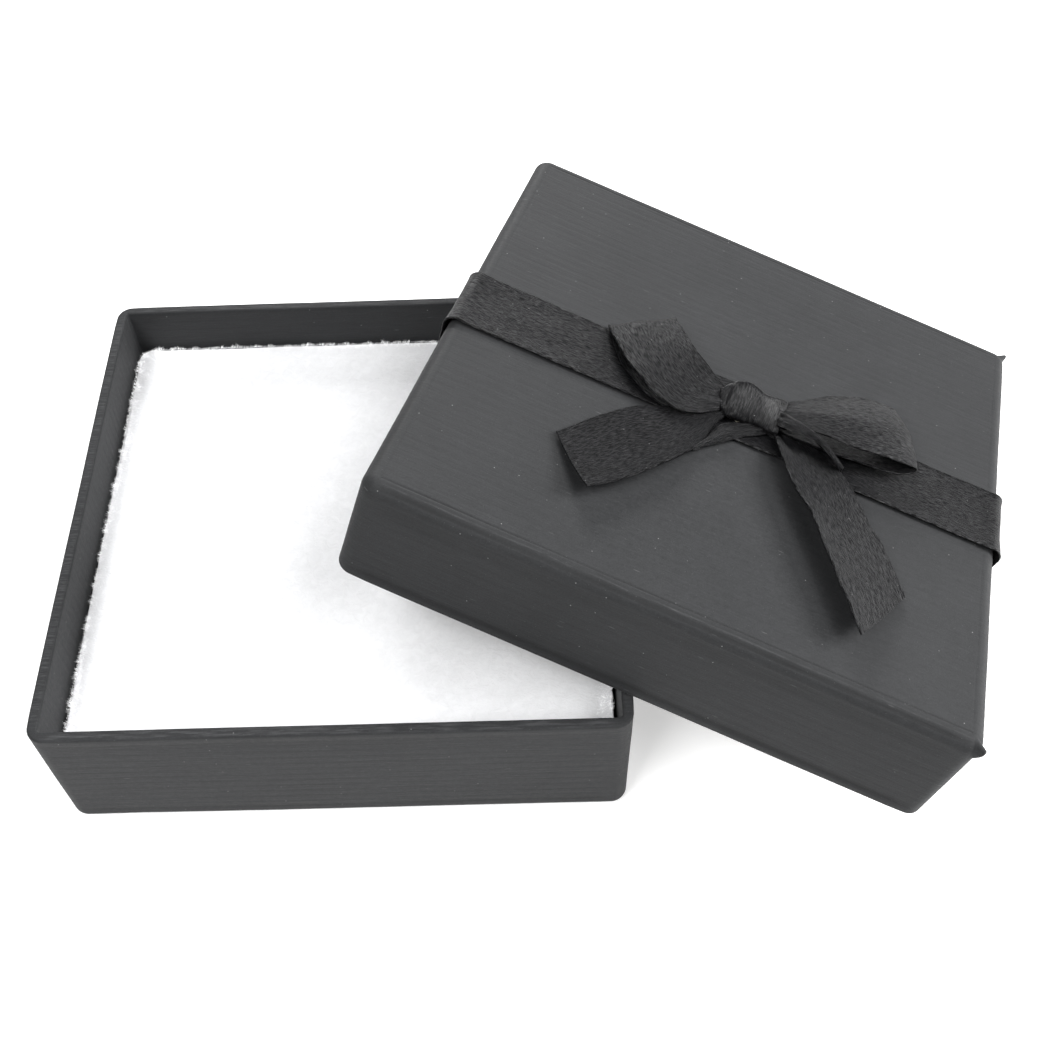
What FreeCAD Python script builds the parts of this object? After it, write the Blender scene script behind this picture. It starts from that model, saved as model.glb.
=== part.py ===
import FreeCAD, Part
import math
import os
import Sketcher

# A two-piece jewellery gift box: a paper-covered board tray with a lift-out pad, and a
# paper-covered telescoping lid dressed with a satin ribbon band and a bow. Millimetres.
# Row frame: origin at the centre of the tray's underside, +X right, +Y back, +Z up.
# The lid is off the tray: it leans on the tray's right and back rims, one corner on the table.

os.makedirs("parts", exist_ok=True)
doc = FreeCAD.newDocument("jewelry_gift_box")

# ---- driving dimensions ----------------------------------------------------------------------

DIMENSIONS = {
    # sheet stock
    "board_thick": 1.2,      # rigid greyboard
    "paper_thick": 0.15,     # laid covering paper
    "glue_film": 0.1,        # paste between board and paper; the corner stays are as thick
    "fold_round": 2.0,       # outer radius of the closed face's folded edges
    "corner_round": 2.5,     # outer radius of the upright corners
    "seam_gap": 0.2,         # gap where two walls of a folded blank meet
    # tray
    "tray_side": 86.0,
    "tray_height": 26.0,
    "tray_turn_in": 18.0,    # paper carried over the rim and down the inside
    # lid, measured like the tray: its height runs from the closed face to the rim
    "lid_side": 90.0,
    "lid_height": 18.6,
    "lid_turn_in": 13.0,
    # corner stays
    "stay_leg": 11.0,
    "stay_margin": 2.0,      # short of the rim and of the closed face
    # pad
    "pad_gap": 0.3,          # to the paper on the inner walls
    "pad_rise": 0.05,        # to the tray floor
    "pad_top": 17.8,         # height of its face above the table
    "face_thick": 0.8,
    "pad_round": 3.0,
    # ribbon
    "ribbon_width": 13.0,
    "ribbon_thick": 0.2,
    "band_shift": -0.6,      # band centre from the lid's centre line
    "band_tuck": 11.0,       # band end turned up inside the lid wall
    "band_glue": 0.05,
    "glue_inset": 1.0,       # glue stays this far inside the ribbon's edges
    "bow_glue": 0.25,
    "glue_dot": 2.5,         # radius of the dot under the knot
    # knot: a strip wound once round the gathered middle of the bow
    "knot_across": 2.3,      # its centre along the band, from the lid's centre
    "knot_along": -0.8,
    "knot_long": 10.0,
    "knot_wide": 7.6,
    "knot_tall": 4.8,
    # lean of the lid: centre of its top face, and its turn in degrees
    "lean_across": 60.8,
    "lean_back": 5.6,
    "lean_up": 36.77,
    "lean_yaw": -20.0,
    "lean_pitch": 15.15,
    "lean_roll": -9.9,
}

sheet = doc.addObject("Spreadsheet::Sheet", "dims")
for row, (alias, value) in enumerate(DIMENSIONS.items(), start=1):
    sheet.set(f"A{row}", alias)
    sheet.set(f"B{row}", str(value))
    sheet.setAlias(f"B{row}", alias)
doc.recompute()

UPRIGHT = "placement(vector(0; 0; 0); rotation(0; 0; 0))"
LEAN = ("placement(vector(dims.lean_across; dims.lean_back; dims.lean_up); "
        "rotation(dims.lean_yaw; dims.lean_pitch; dims.lean_roll))")
# A lid shell is drawn closed side down like the tray, then turned over about X.
LEAN_TURNED_OVER = LEAN + " * placement(vector(0; 0; 0); vector(1; 0; 0); 180)"


def size(alias):
    """The current value of one driving dimension."""
    return float(sheet.get(alias))


# ---- sketches and features -------------------------------------------------------------------

def new_body(label):
    body = doc.addObject("PartDesign::Body", label)
    body.Label = label
    return body


def new_sketch(body, name, role="XY_Plane", offset="0"):
    """A sketch on one of the body's origin planes, moved along the plane's normal."""
    plane = next(item for item in body.Origin.OriginFeatures if item.Role == role)
    sketch = body.newObject("Sketcher::SketchObject", name)
    sketch.AttachmentSupport = [(plane, "")]
    sketch.MapMode = "FlatFace"
    sketch.setExpression("AttachmentOffset.Base.z", offset)
    return sketch


def bound_constraint(sketch, formula, *terms):
    """Add one dimension to a sketch and drive it from the sheet."""
    index = sketch.addConstraint(Sketcher.Constraint(*terms, 1.0))
    sketch.setExpression(f"Constraints[{index}]", formula)


def outline(sketch, corners):
    """A closed outline of straight sides; each corner is a pair of sheet formulas."""
    first = sketch.GeometryCount
    guess = [FreeCAD.Vector(step, step * step, 0) for step in range(len(corners))]
    for index in range(len(corners)):
        sketch.addGeometry(Part.LineSegment(guess[index], guess[(index + 1) % len(corners)]))
    for index, (across, along) in enumerate(corners):
        side = first + index
        next_side = first + (index + 1) % len(corners)
        sketch.addConstraint(Sketcher.Constraint("Coincident", side, 2, next_side, 1))
        bound_constraint(sketch, across, "DistanceX", -1, 1, side, 1)
        bound_constraint(sketch, along, "DistanceY", -1, 1, side, 1)


def rectangle(sketch, low_x, low_y, high_x, high_y):
    outline(sketch, [(low_x, low_y), (high_x, low_y), (high_x, high_y), (low_x, high_y)])


def centred_square(sketch, side):
    half = f"({side}) / 2"
    rectangle(sketch, f"-{half}", f"-{half}", half, half)


def rounded_square(sketch, side, radius):
    """A square centred on the origin whose corners are arcs tangent to its sides."""
    signs = [(1, -1), (1, 1), (-1, 1), (-1, -1)]
    quarter_turn = math.pi / 2
    corners = []
    for turn, (right, back) in enumerate(signs):
        rough_circle = Part.Circle(FreeCAD.Vector(2 * right, 2 * back, 0), FreeCAD.Vector(0, 0, 1), 1.0)
        arc = Part.ArcOfCircle(rough_circle, (turn - 1) * quarter_turn, turn * quarter_turn)
        corners.append(sketch.addGeometry(arc))
    for turn in range(4):
        ahead = (turn + 1) % 4
        start = sketch.Geometry[corners[turn]].EndPoint
        end = sketch.Geometry[corners[ahead]].StartPoint
        side_line = sketch.addGeometry(Part.LineSegment(start, end))
        sketch.addConstraint(Sketcher.Constraint("Tangent", corners[turn], 2, side_line, 1))
        sketch.addConstraint(Sketcher.Constraint("Tangent", side_line, 2, corners[ahead], 1))
    for corner, (right, back) in zip(corners, signs):
        centre_offset = f"(({side}) / 2 - ({radius}))"
        bound_constraint(sketch, f"{right} * {centre_offset}", "DistanceX", -1, 1, corner, 3)
        bound_constraint(sketch, f"{back} * {centre_offset}", "DistanceY", -1, 1, corner, 3)
        bound_constraint(sketch, radius, "Radius", corner)


def pad(body, name, sketch, length, both_ways=False):
    feature = body.newObject("PartDesign::Pad", name)
    feature.Profile = sketch
    feature.Midplane = both_ways
    feature.setExpression("Length", length)
    return feature


def pocket_up(body, name, sketch, length):
    """Cut away everything from the sketch upwards; the cut must remove material."""
    doc.recompute()
    before = body.Shape.Volume
    feature = body.newObject("PartDesign::Pocket", name)
    feature.Profile = sketch
    feature.Reversed = True
    feature.setExpression("Length", length)
    doc.recompute()
    if not feature.Shape.Volume < before:
        raise RuntimeError(f"{body.Label}: {name} cut nothing")
    return feature


def round_bottom(body, base, radius):
    """Fillet the closed face's outline, which lies lowest in the body."""
    doc.recompute()
    lowest = base.Shape.BoundBox.ZMin
    names = [f"Edge{index}" for index, edge in enumerate(base.Shape.Edges, start=1)
             if abs(edge.BoundBox.ZMax - lowest) < 1e-6]
    feature = body.newObject("PartDesign::Fillet", "folded_edges")
    feature.Base = (base, names)
    feature.setExpression("Radius", radius)
    return feature


def open_shell(body, base, thickness):
    """Hollow a block to a skin of one thickness, open at the top face."""
    doc.recompute()
    highest = base.Shape.BoundBox.ZMax
    names = [f"Face{index}" for index, face in enumerate(base.Shape.Faces, start=1)
             if abs(face.BoundBox.ZMin - highest) < 1e-6]
    feature = body.newObject("PartDesign::Thickness", "skin")
    feature.Base = (base, names)
    feature.Reversed = True
    feature.setExpression("Value", thickness)
    return feature


# ---- board shells ----------------------------------------------------------------------------

COVER = "(dims.paper_thick + dims.glue_film)"
WALL = "(2 * dims.paper_thick + dims.glue_film + dims.board_thick)"


def board_shell(label, side, height, place):
    """A blank cut from one sheet with its four walls folded up and butted at the corners."""
    body = new_body(label)
    block = new_sketch(body, "footprint", offset=COVER)
    rounded_square(block, f"{side} - 2 * {COVER}", f"dims.corner_round - {COVER}")
    rise = pad(body, "blank", block, f"{height} - {COVER} - dims.paper_thick")
    round_bottom(body, rise, f"dims.fold_round - {COVER}")

    hollow = new_sketch(body, "inside", offset=f"{COVER} + dims.board_thick")
    centred_square(hollow, f"{side} - 2 * {COVER} - 2 * dims.board_thick")
    pocket_up(body, "hollow", hollow, height)

    seams = new_sketch(body, "corner_seams", offset=f"{COVER} + dims.board_thick")
    inner = f"({side} / 2 - {COVER} - dims.board_thick)"
    for right in (1, -1):
        for back in (1, -1):
            near_x, far_x = f"{right} * ({inner} - dims.seam_gap)", f"{right} * {side} / 2"
            near_y, far_y = f"{back} * ({inner} - dims.seam_gap)", f"{back} * {inner}"
            rectangle(seams, near_x, near_y, far_x, far_y)
    pocket_up(body, "seam_cuts", seams, height)
    body.setExpression("Placement", place)


def corner_stays(label, side, height, place):
    """Paper tape round each upright corner of the board, under the cover: four strips."""
    body = new_body(label)
    body.AllowCompound = True
    ring = new_sketch(body, "tape_ring", offset="dims.fold_round + dims.stay_margin")
    rounded_square(ring, f"{side} - 2 * dims.paper_thick", "dims.corner_round - dims.paper_thick")
    rounded_square(ring, f"{side} - 2 * {COVER}", f"dims.corner_round - {COVER}")
    pad(body, "tape", ring, f"{height} - dims.fold_round - 2 * dims.stay_margin")
    between = f"({side} / 2 - dims.stay_leg)"
    beyond = f"({side} / 2 + dims.fold_round)"
    for name, half_x, half_y in (("front_and_back", between, beyond), ("left_and_right", beyond, between)):
        gap = new_sketch(body, f"{name}_window")
        rectangle(gap, f"-{half_x}", f"-{half_y}", half_x, half_y)
        pocket_up(body, f"{name}_gap", gap, height)
    body.setExpression("Placement", place)


def paper_wrap(label, side, height, turn_in, place):
    """One sheet over the closed face and walls, folded over the rim and down the inside."""
    body = new_body(label)
    block = new_sketch(body, "footprint")
    rounded_square(block, side, "dims.corner_round")
    rise = pad(body, "outside", block, height)
    rounded = round_bottom(body, rise, "dims.fold_round")
    open_shell(body, rounded, "dims.paper_thick")

    inner_side = f"{side} - 2 * {WALL}"
    rim = new_sketch(body, "rim_outline", offset=f"{height} - dims.paper_thick")
    rounded_square(rim, f"{side} - dims.paper_thick", "dims.corner_round - 0.5 * dims.paper_thick")
    centred_square(rim, inner_side)
    pad(body, "over_the_rim", rim, "dims.paper_thick")

    lining = new_sketch(body, "turn_in_outline", offset=f"{height} - {turn_in}")
    centred_square(lining, f"{inner_side} + 2 * dims.paper_thick")
    centred_square(lining, inner_side)
    pad(body, "turned_in", lining, turn_in)
    body.setExpression("Placement", place)


for half, place in (("tray", UPRIGHT), ("lid", LEAN_TURNED_OVER)):
    side, height, turn_in = f"dims.{half}_side", f"dims.{half}_height", f"dims.{half}_turn_in"
    board_shell(f"{half}_board", side, height, place)
    corner_stays(f"{half}_corner_stays", side, height, place)
    paper_wrap(f"{half}_wrap", side, height, turn_in, place)


# ---- pad -------------------------------------------------------------------------------------

PAD_SIDE = f"(dims.tray_side - 2 * {WALL} - 2 * dims.pad_gap)"
PAD_BASE = f"({COVER} + dims.board_thick + dims.pad_rise)"


def pad_layer(label, bottom, top):
    """One full-size layer of the lift-out pad, with soft upright corners."""
    body = new_body(label)
    footprint = new_sketch(body, "footprint", offset=bottom)
    rounded_square(footprint, PAD_SIDE, "dims.pad_round")
    pad(body, "layer", footprint, f"{top} - {bottom}")
    body.setExpression("Placement", UPRIGHT)


pad_layer("pad_foam", PAD_BASE, "(dims.pad_top - dims.face_thick)")
pad_layer("pad_face", "(dims.pad_top - dims.face_thick)", "dims.pad_top")


# ---- ribbon band -----------------------------------------------------------------------------
# Drawn in the lid's own frame: origin at the centre of its top face, X along the band.

LID_HALF = "(dims.lid_side / 2)"
LID_INNER = f"({LID_HALF} - {WALL})"


def ribbon_band():
    """One length over the lid, down two walls, under the rim and up inside each wall."""
    body = new_body("ribbon_band")
    profile = new_sketch(body, "side_profile", "XZ_Plane", "-dims.band_shift")
    thick = "dims.ribbon_thick"
    tuck_face = f"({LID_INNER} - dims.band_glue)"
    tuck_top = "(dims.band_tuck - dims.lid_height)"
    right_half = [
        (f"{LID_HALF} + {thick}", thick),
        (f"{LID_HALF} + {thick}", f"-dims.lid_height - {thick}"),
        (f"{tuck_face} - {thick}", f"-dims.lid_height - {thick}"),
        (f"{tuck_face} - {thick}", tuck_top),
        (tuck_face, tuck_top),
        (tuck_face, "-dims.lid_height"),
        (LID_HALF, "-dims.lid_height"),
        (LID_HALF, "0"),
    ]
    left_half = [(f"-({across})", upward) for across, upward in reversed(right_half)]
    outline(profile, right_half + left_half)
    pad(body, "woven_width", profile, "dims.ribbon_width", both_ways=True)
    body.setExpression("Placement", LEAN)


def band_end_glue():
    """A film of glue behind each tucked end of the band."""
    body = new_body("band_end_glue")
    body.AllowCompound = True
    for name, sign in (("right", 1), ("left", -1)):
        film = new_sketch(body, f"{name}_film", "XZ_Plane", "-dims.band_shift")
        rectangle(film, f"{sign} * ({LID_INNER} - dims.band_glue)", "dims.glue_inset - dims.lid_height",
                  f"{sign} * {LID_INNER}", "dims.band_tuck - dims.glue_inset - dims.lid_height")
        pad(body, f"{name}_glue", film, "dims.ribbon_width - 2 * dims.glue_inset", both_ways=True)
    body.setExpression("Placement", LEAN)


ribbon_band()
band_end_glue()


# ---- bow -------------------------------------------------------------------------------------
# Every station below holds three points of the ribbon, front edge, middle and back edge, each
# as (across, along, height) in the lid's own frame. They run outwards from the knot.

LEFT_LOOP = [
    ((-2.0, -4.2, 2.2), (-2.4, -2.2, 3.4), (-2.6, 0.2, 3.4)),
    ((-5.5, -7.4, 2.4), (-4.8, -3.4, 3.2), (-3.8, 0.6, 3.7)),
    ((-9.0, -8.3, 2.5), (-7.4, -2.6, 2.8), (-5.6, 2.4, 3.8)),
    ((-15.2, -5.0, 2.6), (-12.4, 1.4, 3.2), (-9.6, 7.2, 3.3)),
    ((-18.7, -1.2, 2.4), (-14.8, 4.6, 2.9), (-11.2, 9.8, 2.9)),
    ((-22.0, 4.2, 2.0), (-17.3, 8.7, 2.2), (-12.8, 12.6, 2.3)),
    ((-22.2, 4.5, 1.3), (-17.6, 9.2, 1.4), (-13.0, 13.0, 1.4)),
    ((-21.8, 3.9, 0.7), (-17.2, 8.4, 0.7), (-12.7, 12.3, 0.7)),
    ((-18.7, -0.8, 0.6), (-14.6, 4.6, 0.6), (-10.8, 9.6, 0.6)),
    ((-15.1, -4.1, 0.6), (-12.4, 1.6, 0.6), (-9.2, 7.2, 0.6)),
    ((-6.0, -6.3, 0.8), (-5.4, -2.6, 0.8), (-4.8, 1.6, 0.8)),
    ((-2.0, -3.0, 1.4), (-2.2, -1.2, 1.4), (-2.4, 0.8, 1.4)),
]
RIGHT_LOOP = [
    ((7.0, -2.4, 2.4), (7.4, 0.2, 3.9), (7.8, 1.8, 3.3)),
    ((12.5, -3.1, 4.6), (12.2, 1.4, 4.9), (11.8, 6.2, 3.6)),
    ((18.7, -3.5, 5.2), (18.0, 3.0, 5.6), (16.5, 9.4, 3.8)),
    ((24.2, -2.0, 4.8), (23.4, 4.8, 5.2), (21.3, 11.5, 3.6)),
    ((29.3, 0.0, 3.0), (28.2, 6.6, 2.6), (25.6, 12.0, 1.8)),
    ((23.4, -1.7, 1.7), (22.2, 4.9, 0.8), (20.5, 11.0, 0.6)),
    ((16.2, -2.3, 1.5), (15.8, 3.4, 0.8), (15.0, 9.0, 0.6)),
    ((6.8, -2.0, 1.5), (7.0, 0.0, 1.5), (7.2, 1.6, 1.5)),
]
LEFT_TAIL = [
    ((0.0, -3.4, 1.6), (-0.4, -2.6, 1.8), (-0.6, -1.4, 1.6)),
    ((-1.6, -9.8, 1.0), (-3.2, -9.0, 2.2), (-6.0, -4.6, 1.5)),
    ((-3.9, -13.2, 1.3), (-5.2, -12.6, 1.9), (-8.6, -6.2, 1.4)),
    ((-9.2, -22.7, 2.5), (-12.4, -17.6, 1.5), (-15.7, -11.4, 1.2)),
    ((-16.9, -32.2, 3.4), (-20.2, -27.0, 1.7), (-23.6, -21.4, 0.6)),
]
RIGHT_TAIL = [
    ((5.6, -3.0, 1.8), (6.4, -2.4, 1.6), (7.0, -0.8, 2.8)),
    ((8.6, -10.2, 3.6), (11.6, -8.0, 1.7), (14.5, -4.6, 3.0)),
    ((14.7, -21.0, 4.4), (18.0, -16.4, 2.5), (21.6, -11.1, 2.0)),
    ((24.0, -38.3, 4.0), (27.6, -31.6, 2.4), (30.7, -25.0, 1.0)),
]
STEPS_PER_WIDTH = 9    # loft sections in a ribbon width of travel
KNOT_BASE = "(dims.ribbon_thick + dims.bow_glue)"
KNOT_SPOT = (f"placement(vector(dims.knot_across; dims.knot_along; {KNOT_BASE} + dims.knot_tall / 2); "
             "rotation(0; 0; 0))")


def flat_oval(sketch, wide, tall):
    """Two level sides joined by half circles, centred on the sketch origin."""
    ends = []
    for sign, start_turn in ((1, -math.pi / 2), (-1, math.pi / 2)):
        rough_circle = Part.Circle(FreeCAD.Vector(sign, 0, 0), FreeCAD.Vector(0, 0, 1), 1.0)
        arc = Part.ArcOfCircle(rough_circle, start_turn, start_turn + math.pi)
        ends.append(sketch.addGeometry(arc))
    for here, there in (ends, reversed(ends)):
        start = sketch.Geometry[here].EndPoint
        end = sketch.Geometry[there].StartPoint
        side_line = sketch.addGeometry(Part.LineSegment(start, end))
        sketch.addConstraint(Sketcher.Constraint("Tangent", here, 2, side_line, 1))
        sketch.addConstraint(Sketcher.Constraint("Tangent", side_line, 2, there, 1))
    for sign, end in zip((1, -1), ends):
        bound_constraint(sketch, f"{sign} * (({wide}) - ({tall})) / 2", "DistanceX", -1, 1, end, 3)
        bound_constraint(sketch, "0", "DistanceY", -1, 1, end, 3)
        bound_constraint(sketch, f"({tall}) / 2", "Radius", end)


def bow_knot():
    """The centre strip, wound once round the gathered middle."""
    body = new_body("bow_knot")
    profile = new_sketch(body, "wrap_profile", "YZ_Plane")
    flat_oval(profile, "dims.knot_wide", "dims.knot_tall")
    inset = "2 * dims.ribbon_thick"
    flat_oval(profile, f"dims.knot_wide - {inset}", f"dims.knot_tall - {inset}")
    pad(body, "strip_width", profile, "dims.knot_long", both_ways=True)
    body.setExpression("Placement", f"{LEAN} * {KNOT_SPOT}")
    return body


def even_stations(stations, spacing):
    """Smooth curves through the front, middle and back points, read off at even steps."""
    middles = [FreeCAD.Vector(*middle) for front, middle, back in stations]
    travel = [0.0]
    for here, there in zip(middles, middles[1:]):
        travel.append(travel[-1] + there.distanceToPoint(here))
    curves = []
    for place in range(3):
        curve = Part.BSplineCurve()
        points = [FreeCAD.Vector(*station[place]) for station in stations]
        curve.interpolate(Points=points, Parameters=travel)
        curves.append(curve)
    steps = round(travel[-1] / spacing)
    return [[curve.value(travel[-1] * step / steps) for curve in curves] for step in range(steps + 1)]


def ribbon_strip(stations):
    """A thin solid through the stations, each one a bent flat section as thick as the ribbon."""
    half = size("ribbon_thick") / 2
    samples = even_stations(stations, spacing=size("ribbon_width") / STEPS_PER_WIDTH)
    sections = []
    for index, (front, middle, back) in enumerate(samples):
        ahead = samples[min(index + 1, len(samples) - 1)][1]
        behind = samples[max(index - 1, 0)][1]
        across = back - front
        lift = across.cross(ahead - behind).normalize()
        facing = across.cross(lift).normalize()
        level_middle = middle - facing * facing.dot(middle - front)
        points = [front, level_middle, back]
        lift = lift * half
        loop = [point + lift for point in points] + [point - lift for point in reversed(points)]
        sections.append(Part.makePolygon(loop + loop[:1]))
    return Part.makeLoft(sections, True, False)


def gathered_middle():
    """The crushed layers inside the knot, as one plug that shows at both of its ends."""
    thick = size("ribbon_thick")
    tall = size("knot_tall") - 2 * thick
    flat = size("knot_wide") - size("knot_tall")
    length = size("knot_long") + 2 * thick
    left_end = FreeCAD.Vector(size("knot_across") - length / 2, size("knot_along") - flat / 2,
                              size("bow_glue") + 2 * thick)
    plug = Part.makeBox(length, flat, tall, left_end)
    for along in (0, flat):
        axis_start = left_end + FreeCAD.Vector(0, along, tall / 2)
        plug = plug.fuse(Part.makeCylinder(tall / 2, length, axis_start, FreeCAD.Vector(1, 0, 0)))
    return plug


def bow_ribbon(knot):
    """One strip folded into two loops and two tails, which leave the knot by its open ends."""
    feature = doc.addObject("Part::Feature", "bow_ribbon")
    feature.Label = "bow_ribbon"
    strips = [ribbon_strip(stations) for stations in (LEFT_LOOP, RIGHT_LOOP, LEFT_TAIL, RIGHT_TAIL)]
    whole = gathered_middle().multiFuse(strips).cut(knot)
    feature.Shape = max(whole.Solids, key=lambda solid: solid.Volume)
    feature.setExpression("Placement", LEAN)


def bow_glue():
    """The dot that holds the knot on the band."""
    dot = doc.addObject("Part::Cylinder", "bow_glue")
    dot.Label = "bow_glue"
    dot.setExpression("Radius", "dims.glue_dot")
    dot.setExpression("Height", "dims.bow_glue")
    spot = "placement(vector(dims.knot_across; dims.knot_along; dims.ribbon_thick); rotation(0; 0; 0))"
    dot.setExpression("Placement", f"{LEAN} * {spot}")


knot_body = bow_knot()
bow_glue()
doc.recompute()
lean = doc.getObject("ribbon_band").Placement
bow_ribbon(knot_body.Shape.transformed(lean.inverse().toMatrix()))


# ---- check and write -------------------------------------------------------------------------

def finished_nodes():
    """The sub-parts: bodies, the bow's folded strip and the glue dot."""
    kinds = ("PartDesign::Body", "Part::Feature", "Part::Cylinder")
    return [item for item in doc.Objects if item.TypeId in kinds]


def check_and_write():
    doc.recompute()
    for item in doc.Objects:
        if "Invalid" in item.State or "Error" in item.State:
            raise RuntimeError(f"{item.Label} failed: {item.State}")
    nodes = finished_nodes()
    for node in nodes:
        if node.Shape.isNull() or not node.Shape.isValid() or not node.Shape.Solids:
            raise RuntimeError(f"{node.Label} has no valid solid")
    for node in nodes:
        node.Shape.exportStep(os.path.join("parts", f"{node.Label}.step"))
    print(f"{len(nodes)} sub-parts written")


check_and_write()
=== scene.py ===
import math

import bpy
import numpy as np
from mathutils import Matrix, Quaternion, Vector


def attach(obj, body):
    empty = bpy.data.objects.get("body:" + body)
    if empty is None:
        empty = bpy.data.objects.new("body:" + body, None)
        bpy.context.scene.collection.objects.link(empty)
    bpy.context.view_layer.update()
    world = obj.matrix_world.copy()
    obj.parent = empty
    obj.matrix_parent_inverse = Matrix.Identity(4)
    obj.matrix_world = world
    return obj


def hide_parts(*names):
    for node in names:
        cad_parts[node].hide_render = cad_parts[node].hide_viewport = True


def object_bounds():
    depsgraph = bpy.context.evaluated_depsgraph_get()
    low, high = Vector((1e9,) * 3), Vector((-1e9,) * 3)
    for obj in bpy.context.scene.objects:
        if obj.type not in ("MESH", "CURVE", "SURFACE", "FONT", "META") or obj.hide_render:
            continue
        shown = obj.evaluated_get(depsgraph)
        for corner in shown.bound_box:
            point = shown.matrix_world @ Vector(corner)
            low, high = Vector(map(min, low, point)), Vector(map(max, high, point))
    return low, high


# The looks of a black jewellery gift box: an open paper-covered tray with a white brushed pad,
# and its lid leaning on the tray, dressed with a satin band and bow.
# Pieces are worked out in millimetres in a body's own frame and placed in the row frame in metres.

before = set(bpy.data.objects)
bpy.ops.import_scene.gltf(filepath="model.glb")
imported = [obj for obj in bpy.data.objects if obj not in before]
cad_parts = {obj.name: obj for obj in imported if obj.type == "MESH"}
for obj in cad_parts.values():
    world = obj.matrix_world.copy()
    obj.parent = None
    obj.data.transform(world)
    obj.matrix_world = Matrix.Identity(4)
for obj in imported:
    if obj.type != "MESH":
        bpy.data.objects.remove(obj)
cad_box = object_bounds()

MM = 0.001


# ---- frames read from the CAD ----

def node_points(node):
    """A CAD node's vertices in millimetres, in the row frame."""
    return np.array([vertex.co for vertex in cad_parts[node].data.vertices]) / MM


def shared_normal(node, wanted):
    """The unit normal near the wanted direction that most of a node's surface shares."""
    sums = {}
    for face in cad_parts[node].data.polygons:
        if face.normal.dot(wanted) > 0.8:
            key = tuple(round(part, 3) for part in face.normal)
            sums[key] = sums.get(key, Vector()) + face.normal * face.area
    return np.array(max(sums.values(), key=lambda total: total.length).normalized())


class Place:
    """A right-handed frame in the row frame: axes as columns, origin in millimetres."""

    def __init__(self, axes, origin):
        self.axes = np.asarray(axes, float)
        self.origin = np.asarray(origin, float)

    def to_row(self, points):
        return points @ self.axes.T + self.origin

    def from_row(self, points):
        return (points - self.origin) @ self.axes

    def box(self, node):
        local = self.from_row(node_points(node))
        return local.min(axis=0), local.max(axis=0)


def lid_frame():
    """Origin at the centre of the lid's top face, X along the band, Z out of the face."""
    up = shared_normal("lid_wrap", Vector((0, 0, 1)))
    across = shared_normal("lid_wrap", Vector((1, 0, 0)))
    back = np.cross(up, across)
    turned = Place(np.column_stack([across, back, up]), (0, 0, 0))
    low, high = turned.box("lid_wrap")
    centre = np.array([(low[0] + high[0]) / 2, (low[1] + high[1]) / 2, high[2]])
    return Place(turned.axes, turned.to_row(centre))


ROW = Place(np.eye(3), (0, 0, 0))
LID = lid_frame()
LID_TURNED_OVER = Place(LID.axes @ np.diag([1.0, -1.0, -1.0]), LID.origin)

TRAY_LOW, TRAY_HIGH = ROW.box("tray_wrap")
TRAY_HALF = TRAY_HIGH[0]
TRAY_HEIGHT = TRAY_HIGH[2]
LID_LOW, LID_HIGH = LID.box("lid_wrap")
LID_HALF = LID_HIGH[0]
LID_HEIGHT = -LID_LOW[2]
FOAM_LOW, FOAM_HIGH = ROW.box("pad_foam")
FACE_LOW, FACE_HIGH = ROW.box("pad_face")
BAND_LOW, BAND_HIGH = LID.box("ribbon_band")

# ---- driving dimensions, millimetres ----

WALL = 1.6                 # paper, board and paper
TRAY_TURN_IN = 18.0        # paper carried over the rim and down the inside
LID_TURN_IN = 13.0         # the same on the lid
EDGE_ROUND = 2.0           # folds round the closed face
CORNER_ROUND = 2.5         # upright corners, outside
LINING_ROUND = 0.5         # upright corners, inside
RIB_PITCH = 1.8            # from one strong laid line of the paper to the next
RIB_TALL = 0.014
STEPS_PER_RIB = 6          # rows of the mesh to each laid line
FACE_MARGIN = 3.6          # the rim of the closed face that belongs to the folded edge
RIBBON_THICK = 0.22
RIBBON_HALF = (BAND_HIGH[1] - BAND_LOW[1]) / 2    # half its width


# ---- small maths ----

def soft_step(value, low, high):
    """0 below low, 1 above high, and a smooth rise between."""
    t = np.clip((value - low) / (high - low), 0.0, 1.0)
    return t * t * (3.0 - 2.0 * t)


def hump(value, centre, width):
    return np.exp(-((value - centre) / width) ** 2)


def unit(vectors):
    return vectors / np.linalg.norm(vectors, axis=-1, keepdims=True)


def waves(points, wavelength, seed, count=7):
    """Smooth noise of about unit size: sine waves in random directions."""
    draw = np.random.default_rng(seed)
    total = np.zeros(points.shape[:-1])
    for _ in range(count):
        direction = unit(draw.normal(size=points.shape[-1]))
        length = wavelength * draw.uniform(0.7, 1.5)
        total += np.sin(points @ direction * (2 * math.pi / length) + draw.uniform(0, 2 * math.pi))
    return total / math.sqrt(count / 2)


def spline(points, places):
    """A natural cubic spline with its points one step apart, read at the given places."""
    points = np.asarray(points, float)
    last = len(points) - 1
    system = 4.0 * np.eye(last + 1) + np.eye(last + 1, k=1) + np.eye(last + 1, k=-1)
    system[0, 0] = system[last, last] = 2.0
    rises = np.empty_like(points)
    rises[1:-1] = 3.0 * (points[2:] - points[:-2])
    rises[0] = 3.0 * (points[1] - points[0])
    rises[-1] = 3.0 * (points[-1] - points[-2])
    slopes = np.linalg.solve(system, rises)
    first = np.clip(places.astype(int), 0, last - 1)
    t = (places - first)[:, None]
    start, end = points[first], points[first + 1]
    leave, arrive = slopes[first], slopes[first + 1]
    return (start * (1 + 2 * t) * (1 - t) ** 2 + end * t * t * (3 - 2 * t)
            + leave * t * (1 - t) ** 2 - arrive * t * t * (1 - t))


def pairs(rows, columns):
    """A grid of two-number points, one for each row value with each column value."""
    return np.stack(np.meshgrid(rows, columns, indexing="ij"), axis=-1)


def travel_along(points):
    """How far along a line each of its points lies."""
    steps = np.linalg.norm(np.diff(points, axis=0), axis=1)
    return np.concatenate([[0.0], np.cumsum(steps)])


# ---- meshes ----

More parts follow.
